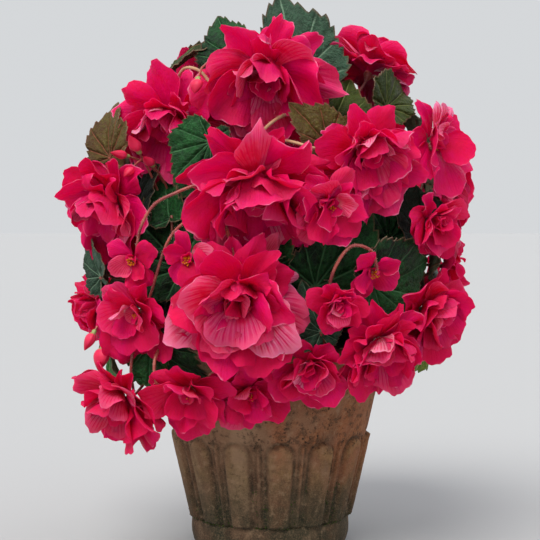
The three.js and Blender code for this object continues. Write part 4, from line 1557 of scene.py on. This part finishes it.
@dataclass
class Bloom:
    """One bloom: layers of waved, cupped petals that open from its stalk's end.

    The swell, crumple and midrib are how high a petal's waves are and how deep its middle line is
    sunk, as shares of its length. The sweep is half of the angle that its margin turns through.
    """

    flower: Flower
    pattern: SheetPattern
    seed: int
    thick: float = 0.36
    sweep: float = 126
    swell: float = 0.014
    crumple: float = 0.016
    midrib: float = 0.02
    overshoot: float = 1.15
    bend_steps: int = 33
    sunny_height: float = 300
    sunny_range: float = 320

    def outline(
        self, whorl: Whorl, length: float, rise: float, chance: np.random.Generator
    ) -> tuple[np.ndarray, np.ndarray]:
        """Draws a petal flat: broad beyond its middle, with an uneven margin.

        Args:
            whorl: what it has in common with its neighbours.
            length: in millimetres.
            rise: how far it stands up, from -1 to 1, which makes it narrower and more pointed.
            chance: the source of its own small differences.

        Returns:
            Places across and along the petal, in millimetres.
        """
        u, v = self.pattern.across, self.pattern.along
        sweep = u * math.radians(self.sweep)
        half = whorl.half_width * length * chance.uniform(0.80, 1.18) * (1 - 0.26 * max(rise, 0))
        phase = chance.uniform(0, math.tau, 3)
        notch = 0.045 * np.sin(4.3 * u + phase[0]) + 0.03 * np.sin(10 * u + phase[1])
        notch += 0.018 * np.sin(25 * u + phase[2])
        point = whorl.point * (1 + max(rise, 0)) + max(0.0, chance.normal(0, 0.2))
        widest = chance.uniform(0.54, 0.64)
        side_out = half * np.sin(sweep) * (1 - point * np.clip(np.cos(sweep), 0, 1))
        tip_out = length * (widest + (1 - widest) * np.cos(sweep))
        share = 0.05 + 0.95 * v
        uneven = 1 + notch * v**2
        return side_out * share**0.82 * uneven, tip_out * share * uneven

    def petal(self, whorl: Whorl, turn: float, chance: np.random.Generator) -> np.ndarray:
        """Shapes one petal that bends under its own weight.

        Args:
            whorl: what it has in common with its neighbours.
            turn: its angle round the bloom's axis, in radians.
            chance: the source of its own small differences.

        Returns:
            Its points in millimetres.
        """
        rise = float(self.heart(whorl, turn)[0][2])
        length = whorl.length * self.flower.radius * chance.uniform(0.82, 1.1) * (1 - 0.1 * rise)
        x, y = self.outline(whorl, length, rise, chance)
        u, v = self.pattern.across, self.pattern.along
        along = y / length
        phase = chance.uniform(0, math.tau, 4)
        cup = whorl.cup * length * chance.uniform(0.75, 1.3)
        across, lift = cup * np.sin(x / cup), cup * (1 - np.cos(x / cup))
        waves = chance.uniform(2.4, 4.2)
        frill = np.sin(waves * 2 * u + phase[0]) + 0.5 * np.sin(2.3 * waves * u + phase[1])
        lift += whorl.ruffle * length * frill * v**2.2 * chance.uniform(0.7, 1.5)
        swells = np.sin(5 * along + 4 * u + phase[2]) + np.sin(13 * u + phase[3]) * v**3
        lift += self.swell * length * swells
        lift += self.crumple * length * np.sin(10 * u + phase[1]) * np.sin(11 * along + 3 * u + phase[0]) * v
        roll = chance.normal(0, 0.05) * np.sin(1.7 * u + phase[3])
        lift += roll * length * np.clip((v - 0.78) / 0.22, 0, 1) ** 2
        lift -= self.midrib * length * ridge(x, 0.07 * length) * (1 - 0.6 * v)
        twist = math.radians(chance.normal(0, 18)) * along
        cosine, sine = np.cos(twist), np.sin(twist)
        across, lift = across * cosine - lift * sine, across * sine + lift * cosine
        steps = np.linspace(0, self.overshoot, self.bend_steps)
        lines = self.bend(whorl, turn, length, steps, chance)
        middle, side, face = (
            np.column_stack([np.interp(along, steps, part) for part in line.T]) for line in lines
        )
        return middle + side * across[:, None] + face * lift[:, None]

    def bend(
        self, whorl: Whorl, turn: float, length: float, steps: np.ndarray, chance: np.random.Generator
    ) -> tuple[np.ndarray, np.ndarray, np.ndarray]:
        """Bends a petal's middle line outward and then down.

        Args:
            whorl: what it has in common with its neighbours.
            turn: its angle round the bloom's axis, in radians.
            length: in millimetres.
            steps: shares of the length.
            chance: the source of its own small differences.

        Returns:
            The line's points, and the petal's side and face direction at each.
        """
        out, tangent, face = self.heart(whorl, turn)
        root = whorl.lean[0] + chance.normal(0, 9)
        tip = whorl.lean[1] + chance.normal(0, 15)
        curl = chance.normal(4, 24)
        lean = np.radians(root + (tip - root) * steps**1.15 + curl * steps**4)
        way = np.outer(np.sin(lean), out) + np.outer(np.cos(lean), face)
        weight = self.flower.hang * whorl.hang * chance.uniform(0.6, 1.3) * (1 - 0.35 * max(float(out[2]), 0))
        way += np.outer(weight * steps**1.4, (0, 0, -1))
        way = unit_rows(way)
        stride = way[:-1] * np.diff(steps)[:, None] * length
        ahead = outward(self.flower.facing)
        start = self.flower.base() + self.flower.radius * (whorl.root * out + whorl.height * ahead)
        start[2] += self.flower.radius * (0.05 + 0.5 * whorl.height)
        middle = start + np.vstack([np.zeros(3), np.cumsum(stride, axis=0)])
        side = unit_rows(tangent - way * (way @ tangent)[:, None])
        return middle, side, np.cross(side, way)

    def heart(self, whorl: Whorl, turn: float) -> tuple[np.ndarray, np.ndarray, np.ndarray]:
        """Finds a petal's directions. The heart nods, and its inner whorls nod the most.

        Args:
            whorl: the petal's whorl.
            turn: its angle round the bloom's axis, in radians.

        Returns:
            The petal's way out, the direction across it, and the bloom's axis there.
        """
        azimuth, lift = self.flower.facing
        nod = self.flower.nod * min(1.0, 4 * (whorl.height - 0.06))
        right, upward, face = facing_axes((azimuth, lift - nod), self.flower.turn)
        out = right * math.cos(turn) + upward * math.sin(turn)
        return out, right * math.sin(turn) - upward * math.cos(turn), face

    def gather(self, sheaf: Sheaf) -> None:
        """Adds the bloom's petals to a sheaf.

        Args:
            sheaf: what the petals go into.
        """
        chance = np.random.default_rng(self.seed)
        angle = chance.uniform(0, math.tau)
        # Painted light: the higher a bloom stands, the higher its petals' tone, which paints them lighter as
        # if sunnier.
        sunlit = (self.flower.middle[2] - self.sunny_height) / self.sunny_range
        for whorl in WHORLS[self.flower.form]:
            for number in range(whorl.count):
                turn = angle + math.tau * (number + chance.uniform(-0.34, 0.34)) / whorl.count
                points = self.petal(whorl, turn, chance)
                tone_and_sunlight = clamp(chance.uniform(0, 1) + sunlit)
                pale = clamp(chance.normal(self.flower.pale - 0.6, 0.5))
                charts = {
                    "petal": np.column_stack([self.pattern.across / 2 + 0.5, self.pattern.along]),
                    "mood": np.tile((tone_and_sunlight, pale), (len(points), 1)),
                }
                sheaf.add(self.pattern, points, charts)
            angle += math.pi / whorl.count + chance.uniform(-0.2, 0.2)

    def build(self, skins: Sequence[bpy.types.Material]) -> None:
        """Builds the bloom and puts it in its node's place."""
        sheaf = Sheaf()
        self.gather(sheaf)
        petals = sheaf.bind(self.thick, skins)
        settle(petals, f"petals_{self.flower.name}", "petal", f"bloom_{self.flower.name}")


@dataclass
class Stamens:
    """The small golden anthers in the open blooms."""

    length: float = 5.0
    count: dict[Form, int] = field(default_factory=lambda: {Form.HALF: 12, Form.SINGLE: 16})
    parted: str = "centre_low"
    parted_count: int = 8
    depth: float = 0.22
    lean: Span = (8, 34)
    lean_full: int = 14
    turn_step: float = 2.4
    sizes: Span = (0.85, 1.15)
    seed: int = 5

    def number_in(self, flower: Flower) -> int:
        """How many anthers show in a bloom: some in the open forms, and a few where petals have parted."""
        return self.parted_count if flower.name == self.parted else self.count.get(flower.form, 0)

    def anther(self) -> bpy.types.Object:
        """Models one anther on its thread, upright, in millimetres."""
        clear_choice()
        bpy.ops.mesh.primitive_uv_sphere_add(segments=6, ring_count=5, radius=1)
        anther = bpy.context.object
        bpy.ops.object.mode_set(mode="EDIT")
        bpy.ops.mesh.select_all(action="SELECT")
        bpy.ops.transform.resize(value=(0.62, 0.62, 1.15))
        bpy.ops.transform.translate(value=(0, 0, self.length))
        bpy.ops.object.mode_set(mode="OBJECT")
        min(anther.data.vertices, key=lambda vertex: vertex.co.z).co.z = 0.5
        return anther

    def build(self) -> None:
        """Places the anthers in every open bloom, as one piece."""
        copies = Copies(self.anther())
        chance = np.random.default_rng(self.seed)
        for flower in FLOWERS:
            axes = facing_axes(flower.facing, 0)
            heart = np.array(flower.middle) - self.depth * flower.radius * axes[2]
            for number in range(self.number_in(flower)):
                outer = math.sqrt(number / self.lean_full)
                lean = math.radians(self.lean[0] + self.lean[1] * outer)
                turn = self.turn_step * number + chance.uniform(-0.2, 0.2)
                spread = math.sin(lean)
                up = np.array([spread * math.cos(turn), spread * math.sin(turn), math.cos(lean)])
                copies.place(upright_axes(up, chance) @ axes * chance.uniform(*self.sizes), heart)
        anthers = copies.bind(Crumbs("F2A41E", "C8660E", 500, 0.0003).dress("pollen_gold"), 60)
        settle(anthers, "stamens", None)


# ---------------- leafy stems

GOLDEN_ANGLE = 137.5  # degrees from each leaf of an upright stem to the next one

# The outline of a leaf from its tip round to the lobe behind its stalk: angle and reach.
OUTLINE = (
    (0, 1.0), (7, 0.89), (16, 0.78), (28, 0.69), (42, 0.62), (58, 0.57), (75, 0.53),
    (94, 0.49), (115, 0.44), (136, 0.38), (154, 0.31), (168, 0.22), (179, 0.07),
)


@dataclass
class Blade:
    """The blade of one leaf: a lopsided heart with a toothed margin, puckered between its veins."""

    leaf: Leaf
    pattern: SheetPattern
    teeth: int = 33
    tooth: float = 0.095
    narrow: float = 0.72
    half_turn: float = 179
    sunken: float = 0.034
    vein_half: float = 0.04

    def base(self) -> np.ndarray:
        """Where the leaf's stalk meets its blade, in millimetres."""
        return np.array(self.leaf.middle) - BLADE_DEPTH * self.leaf.length * self.axes()[1]

    def axes(self) -> np.ndarray:
        """The leaf's side, tip and face directions."""
        return facing_axes(self.leaf.facing, self.leaf.clock)

    def flat(self, phase: float) -> tuple[np.ndarray, np.ndarray]:
        """Draws the toothed outline and fills it, in shares of the leaf's length.

        Args:
            phase: shifts the uneven margin.

        Returns:
            Places across and along the leaf.
        """
        turn = self.pattern.across * self.half_turn
        reach = np.interp(np.abs(turn), *zip(*OUTLINE))
        place = np.abs(turn) * self.teeth / 360
        saw = 1 - (place + 0.02) % 1
        large = 0.05 * np.cos(np.radians(turn) * 7 + phase) * np.clip(np.abs(turn) / 20, 0, 1)
        fade = np.clip((self.half_turn - np.abs(turn)) / 25, 0, 1) * np.clip(np.abs(turn) / 6, 0.3, 1)
        edge = 1 + (self.tooth * (saw - 0.4) * fade + large) * self.pattern.along**5
        share = 0.02 + 0.98 * self.pattern.along
        x = reach * edge * share * np.sin(np.radians(turn))
        y = reach * edge * share * np.cos(np.radians(turn))
        x = np.where(np.sign(x) == self.leaf.larger, x, x * self.narrow)
        return x * 1.04, y

    def shape(self, seed: int) -> tuple[np.ndarray, dict[str, np.ndarray]]:
        """Shapes the blade in its place.

        Args:
            seed: makes its waves its own.

        Returns:
            Its points in millimetres and its charts.
        """
        chance = np.random.default_rng(seed)
        phase = chance.uniform(0, math.tau, 4)
        x, y = self.flat(phase[0])
        v = self.pattern.along
        turn = np.radians(self.pattern.across * self.half_turn)
        droop, fold = chance.uniform(0.22, 0.5), chance.uniform(0.08, 0.3)
        height = 0.1 * y - droop * y * np.abs(y) + fold * (np.sqrt(x * x + 0.0016) - 0.04)
        height += 0.028 * v**2 * np.sin(5 * turn + phase[1]) + 0.016 * v**3 * np.sin(11 * turn + phase[2])
        sunk = np.zeros(len(x))
        for angle in VEIN_ANGLES:
            dx, dy = vein_way(angle)
            run, off = x * dx + y * dy, x * dy - y * dx
            sunk = np.maximum(sunk, ridge(off, self.vein_half) * (run > 0))
        height -= self.sunken * sunk * np.clip(1.15 - 0.8 * v, 0, 1)
        height += 0.014 * np.sin(31 * x + phase[3]) * np.sin(27 * y + phase[0]) * v
        height += 0.006 * np.sin(57 * x + phase[1]) * np.sin(63 * y + phase[2]) * v
        points = np.column_stack([x, y, height]) * self.leaf.length @ self.axes() + self.base()
        wear = np.full(len(v), LEAF_TINTS[self.leaf.kind].wear)
        charts = {
            "leaf": (np.column_stack([x, y]) + CHART_SHIFT) / CHART_SCALE,
            "rim": np.column_stack([v, wear]),
        }
        return points, charts

    def stalk(self, curve: StemCurve) -> np.ndarray:
        """Runs the leaf's stalk from its stem."""
        _, tip, face = self.axes()
        return curve.stalk(self.base(), unit(tip + 0.5 * face), 0.12)


@dataclass
class LeafyStem:
    """One stem with its leaves, stalks and buds.

    A span of two numbers is the least and the most of a random draw, or how thick a stalk is at its
    root and tip. The seat is where a flower stalk widens: how far past its end, and how wide, in shares
    of the bloom's radius.
    """

    name: str
    fine: SheetPattern
    coarse: SheetPattern
    blade_thick: float = 0.75
    stem_radius: float = 4.2
    stem_taper: Span = (1.0, 0.72)
    stem_knots: int = 9
    steps: int = 41
    leaf_stalk: float = 1.5
    leaf_taper: Span = (1.25, 0.85)
    flower_stalk: float = 1.35
    flower_taper: Span = (1.15, 0.9)
    flower_back: float = 0.16
    seat: tuple[Span, ...] = ((0.06, 0.07), (0.14, 0.12), (0.22, 0.11), (0.27, 0.04))
    bud_stalk: Span = (1.3, 0.9)
    bud_base: float = 0.42
    arch_stalk: Span = (1.5, 1.2)
    crown_leaves: int = 26
    crown_reach: float = 34
    crown_spread: float = 22
    crown_low: float = 250
    crown_rise: float = 6.6
    shade_leaves: int = 12
    shade_start: float = 0.34
    shade_length: Span = (50, 72)
    canopy_leaves: int = 5
    canopy_turn: float = 9
    canopy_reach: Span = (84, 106)
    canopy_height: Span = (262, 318)
    canopy_length: Span = (52, 66)

    def hidden_leaves(self) -> list[Leaf]:
        """The leaves of the plant's shaded inside, which sit along the stem behind the blooms."""
        chance = np.random.default_rng(sum(map(ord, self.name)))
        azimuth, _ = STEMS[self.name]
        curve = StemCurve.of(self.name)
        upright = self.name == "crown"
        leaves = []
        for number in range(self.crown_leaves if upright else self.shade_leaves):
            side = 1 if number % 2 else -1
            if upright:
                around = GOLDEN_ANGLE * number
                reach = self.crown_reach + self.crown_spread * chance.random()
                height = self.crown_low + self.crown_rise * number
                facing = (around, chance.uniform(5, 45))
            else:
                point = curve.at(self.shade_start + (1 - self.shade_start) * number / self.shade_leaves)
                around = azimuth + side * chance.uniform(4, 24)
                reach = math.hypot(point[0], point[1]) * chance.uniform(0.72, 0.98)
                height = point[2] + chance.uniform(-18, 60)
                facing = (around + side * 14, chance.uniform(-10, 35))
            length, clock = chance.uniform(*self.shade_length), side * chance.uniform(20, 130)
            place = around_axis(around, reach, height)
            leaves.append(Leaf(self.name, length, place, facing, clock, side, LeafKind.SHADED, False))
        return leaves

    def canopy(self) -> list[Leaf]:
        """The leaves that lie open to the sky between the crown and a trailing stem's blooms."""
        if self.name == "crown":
            return []
        chance = np.random.default_rng(7 * sum(map(ord, self.name)))
        azimuth, _ = STEMS[self.name]
        leaves = []
        for number in range(self.canopy_leaves):
            around = azimuth + self.canopy_turn * (number - self.canopy_leaves // 2) + chance.uniform(-3, 3)
            reach, height = chance.uniform(*self.canopy_reach), chance.uniform(*self.canopy_height)
            facing = (around, chance.uniform(35, 62))
            length, clock = chance.uniform(*self.canopy_length), chance.uniform(-50, 50)
            place = around_axis(around, reach, height)
            leaves.append(Leaf(self.name, length, place, facing, clock, 1, LeafKind.MATURE, False))
        return leaves

    def leaves(self) -> list[Leaf]:
        """All of the stem's leaves."""
        return [leaf for leaf in LEAVES if leaf.stem == self.name] + self.hidden_leaves() + self.canopy()

    def build_leaves(self, skins: Sequence[bpy.types.Material]) -> None:
        """Builds the leaf blades as one piece.

        Args:
            skins: the materials of a leaf's face and back.
        """
        sheaf = Sheaf()
        for number, leaf in enumerate(self.leaves()):
            blade = Blade(leaf, self.fine if leaf.fine else self.coarse)
            points, charts = blade.shape(number + 31 * len(self.name))
            kind = LEAF_TINTS[leaf.kind]
            tints = {"blade": shade(kind.blade), "second": shade(kind.second), "vein": shade(kind.vein)}
            sheaf.add(blade.pattern, points, charts, tints)
        blades = sheaf.bind(self.blade_thick, skins)
        settle(blades, f"leaves_{self.name}", "leaf", f"leafy_stem_{self.name}")

    def build_shoots(self, skins: Sequence[bpy.types.Material]) -> None:
        """Builds the stem and its stalks as one piece.

        Args:
            skins: the materials, in the order of the kinds of stalk.
        """
        curve = StemCurve.of(self.name)
        shoots = Shoots(skins)
        bumps = np.sin(np.linspace(0, self.stem_knots * math.pi, self.steps))
        knots = 1 + 0.12 * np.maximum(0, bumps) ** 6
        radii = self.stem_radius * np.linspace(*self.stem_taper, self.steps) * knots
        shoots.grow(curve.line(self.steps), radii, StalkKind.STEM)
        for leaf in self.leaves():
            path = Blade(leaf, self.coarse).stalk(curve)
            shoots.grow(path, self.leaf_stalk * np.linspace(*self.leaf_taper, len(path)), StalkKind.LEAF)
        for flower in FLOWERS:
            if flower.stem == self.name:
                self.grow_flower_stalk(shoots, curve, flower)
        for arch in ARCHES:
            if arch.stem == self.name:
                line = StemCurve(arch.points).line(self.steps)
                shoots.grow(line, np.linspace(*self.arch_stalk, self.steps), arch.kind)
        for bud in BUDS:
            if bud.stem == self.name:
                tip = outward(bud.tip)
                base = np.array(bud.middle) - self.bud_base * bud.length * tip
                path = curve.stalk(base, tip, self.flower_back)
                shoots.grow(path, np.linspace(*self.bud_stalk, len(path)), StalkKind.FLOWER)
        settle(shoots.finish(), f"stalks_{self.name}", "leaf", f"leafy_stem_{self.name}")

    def grow_flower_stalk(self, shoots: Shoots, curve: StemCurve, flower: Flower) -> None:
        """Grows a bloom's stalk, which widens where the petals are set.

        Args:
            shoots: what it goes into.
            curve: the stem.
            flower: the bloom.
        """
        face, base = outward(flower.facing), flower.base()
        path = curve.stalk(base, face, self.flower_back)
        radii = self.flower_stalk * np.linspace(*self.flower_taper, len(path))
        seat = [base + face * flower.radius * past for past, _ in self.seat]
        widths = [flower.radius * wide for _, wide in self.seat]
        shoots.grow(np.vstack([path, seat]), np.concatenate([radii, widths]), StalkKind.FLOWER)


@dataclass
class BudCluster:
    """The flower buds: flattened drops of two petals pressed together, on a pale green ovary."""

    half_width: float = 0.36
    flatness: float = 0.66

    def drop(self) -> bpy.types.Object:
        """Models one bud upright, one unit long."""
        clear_choice()
        bpy.ops.mesh.primitive_uv_sphere_add(segments=24, ring_count=16, radius=0.5, location=(0, 0, 0))
        drop = bpy.context.object
        x, y, z = places_of(drop.data).T
        ring = np.maximum(np.hypot(x, y), 1e-6)
        turn = np.arctan2(y, x)
        along = z + 0.5
        blade = np.sin(math.pi * np.clip((along - 0.16) / 0.84, 0, 1) ** 0.72) ** 0.8 * (1 - 0.25 * along)
        ovary = 0.42 * ridge(along - 0.1, 0.1)
        seam = 1 - 0.14 * ridge(np.sin(turn), 0.16) * (along > 0.2)
        wide = self.half_width * np.maximum(blade, ovary) * seam
        shaped = np.column_stack([x / ring * wide, y / ring * wide * self.flatness, along])
        drop.data.vertices.foreach_set("co", shaped.ravel())
        return drop

    def build(self) -> None:
        """Places the buds, as one piece."""
        copies = Copies(self.drop())
        for bud in BUDS:
            axes = facing_axes(bud.tip, 0)
            copies.place(axes * bud.length, np.array(bud.middle) - 0.5 * bud.length * axes[2])
        buds = copies.bind(BudSkin().dress("bud_pink"), 80)
        ripe = np.tile(copies.shape[:, 2], len(BUDS))
        buds.data.attributes.new("ripe", "FLOAT", "POINT").data.foreach_set("value", ripe)
        settle(buds, "buds", "petal")


@dataclass
class Fuzz:
    """The short pale hairs on the long bare stalks."""

    spacing: float = 0.55
    length: float = 1.7
    root: float = 0.07
    stalk: float = 1.3
    rooted: float = 0.9
    slope: float = 0.3
    sizes: Span = (0.6, 1.2)
    covered: Span = (0.02, 0.98)
    steps: int = 120
    seed: int = 8

    def hair(self) -> bpy.types.Object:
        """Models one hair upright, one unit long."""
        clear_choice()
        root = self.root / self.length
        bpy.ops.mesh.primitive_cone_add(vertices=3, radius1=root, depth=1, location=(0, 0, 0.5))
        bpy.ops.object.transform_apply(location=True, rotation=True, scale=True)
        return bpy.context.object

    def build(self) -> None:
        """Places the hairs all along the arches, as one piece."""
        copies = Copies(self.hair())
        chance = np.random.default_rng(self.seed)
        for arch in ARCHES:
            curve = StemCurve(arch.points)
            run = float(np.linalg.norm(np.diff(curve.line(self.steps), axis=0), axis=1).sum())
            for share in np.arange(*self.covered, self.spacing / run):
                ahead = curve.along(share)
                way = unit(np.cross(ahead, chance.normal(0, 1, 3)) + self.slope * ahead)
                length = self.length * chance.uniform(*self.sizes)
                root = curve.at(share) + way * self.stalk * self.rooted
                copies.place(upright_axes(way, chance) * length, root)
        hairs = copies.bind(StalkSkin("F0D8C8", "D8A898", 0.5).dress("hair_skin"), 60)
        settle(hairs, "stalk_hairs", "leaf")


# ---------------- the whole plant


@dataclass
class Begonia:
    """The plant: its leafy stems and its blooms, with the columns and rows of their sheets."""

    fine_leaf: tuple[int, int] = (164, 10)
    coarse_leaf: tuple[int, int] = (72, 6)
    large_petal: tuple[int, int] = (24, 11)
    small_petal: tuple[int, int] = (20, 9)
    large_from: float = 36
    rib_spacing: float = 0.12
    first_seed: int = 11

    def build(self) -> None:
        """Builds every leafy stem, bloom, bud and stamen."""
        fine, coarse = SheetPattern(*self.fine_leaf), SheetPattern(*self.coarse_leaf)
        leaf_skins = [
            LeafSkin(VEIN_ANGLES, self.rib_spacing, False).dress("leaf_face"),
            LeafSkin(VEIN_ANGLES, self.rib_spacing, True).dress("leaf_back"),
        ]
        stalk_skins = [
            StalkSkin("6E7A48", "5A3A2C", 0.45).dress("stem_skin"),
            StalkSkin("A0564A", "6E2F2A", 0.42).dress("leaf_stalk_skin"),
            StalkSkin("B5584E", "8A3038", 0.4).dress("flower_stalk_skin"),
            StalkSkin("C9A07C", "A87458", 0.45).dress("pale_stalk_skin"),
        ]
        for name in STEMS:
            stem = LeafyStem(name, fine, coarse)
            stem.build_leaves(leaf_skins)
            stem.build_shoots(stalk_skins)
        petal_skins = [
            PetalSkin("C00C36", "EA0850", "F42262", "FFA0BE", 0.18, 0.0).dress("petal_face"),
            PetalSkin("BE0C38", "E20C52", "EE366E", "FFA8C2", 0.26, 0.01).dress("petal_back"),
            PetalSkin("BA0A38", "D8064A", "E41656", "EC6288", 0.1, 0.0).dress("petal_edge"),
        ]
        large, small = SheetPattern(*self.large_petal), SheetPattern(*self.small_petal)
        for seed, flower in enumerate(FLOWERS, self.first_seed):
            pattern = large if flower.radius >= self.large_from else small
            Bloom(flower, pattern, seed).build(petal_skins)
        BudCluster().build()
        Stamens().build()
        Fuzz().build()


@dataclass
class Studio:
    """The pale floor, the soft lights and the camera."""

    lens: float = 92.7
    eye: Point = (0, -1.25, 0.3)
    target: Point = (0, 0, 0.244)

    def floor(self) -> None:
        """Lays the floor, which isn't part of the object."""
        clear_choice()
        bpy.ops.mesh.primitive_plane_add(size=30)
        floor = bpy.context.object
        floor.name = "floor"
        floor.data.materials.append(Plain("B8B9BB").dress("floor_pale"))

    def look(self, obj: bpy.types.Object, target: Point) -> None:
        """Turns a lamp or the camera to a point."""
        way = np.array(target) - np.array(obj.location)
        level = math.hypot(way[0], way[1])
        obj.rotation_euler = (math.atan2(level, -way[2]), 0, math.atan2(-way[0], way[1]))

    def sun(self, name: str, place: Point, spread: float, power: float, tint: Colour) -> None:
        """Sets one very soft far lamp.

        Args:
            name: the lamp's name.
            place: the direction that it shines from.
            spread: its angle across, in degrees.
            power: its strength.
            tint: its colour.
        """
        bpy.ops.object.light_add(type="SUN", location=place)
        lamp = bpy.context.object
        lamp.name = name
        lamp.data.angle = math.radians(spread)
        lamp.data.energy = power
        lamp.data.color = tint
        self.look(lamp, (0, 0, 0))

    def camera(self) -> None:
        """Sets up the camera."""
        bpy.ops.object.camera_add(location=self.eye)
        camera = bpy.context.object
        camera.name = "camera"
        camera.data.lens = self.lens
        camera.data.sensor_width = 36
        camera.data.clip_start = 0.01
        self.look(camera, self.target)
        bpy.context.scene.camera = camera

    def build(self) -> None:
        """Builds the studio."""
        scene = bpy.context.scene
        scene.view_settings.view_transform = "Standard"
        world = bpy.data.worlds.new("soft_sky")
        world.use_nodes = True
        sky = world.node_tree.nodes["Background"]
        sky.inputs["Color"].default_value = (0.95, 0.975, 1.0, 1)
        sky.inputs["Strength"].default_value = 0.7
        scene.world = world
        self.floor()
        self.sun("key_sun", (-0.5, -0.85, 1.35), 40, 2.5, (1.0, 0.97, 0.92))
        self.sun("back_sun", (0.6, 0.9, 0.9), 70, 0.5, (0.95, 0.97, 1.0))
        self.camera()


def main() -> None:
    """Builds the studio, the pot, the soil and the plant, and notes their sizes."""
    logging.basicConfig(level=logging.INFO, format="%(name)s %(message)s")
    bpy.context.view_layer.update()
    steps: tuple[Callable[[], None], ...] = (Studio().build, Pot().build, Soil().build, Begonia().build)
    for step in steps:
        step()


if __name__ == "__main__":
    main()
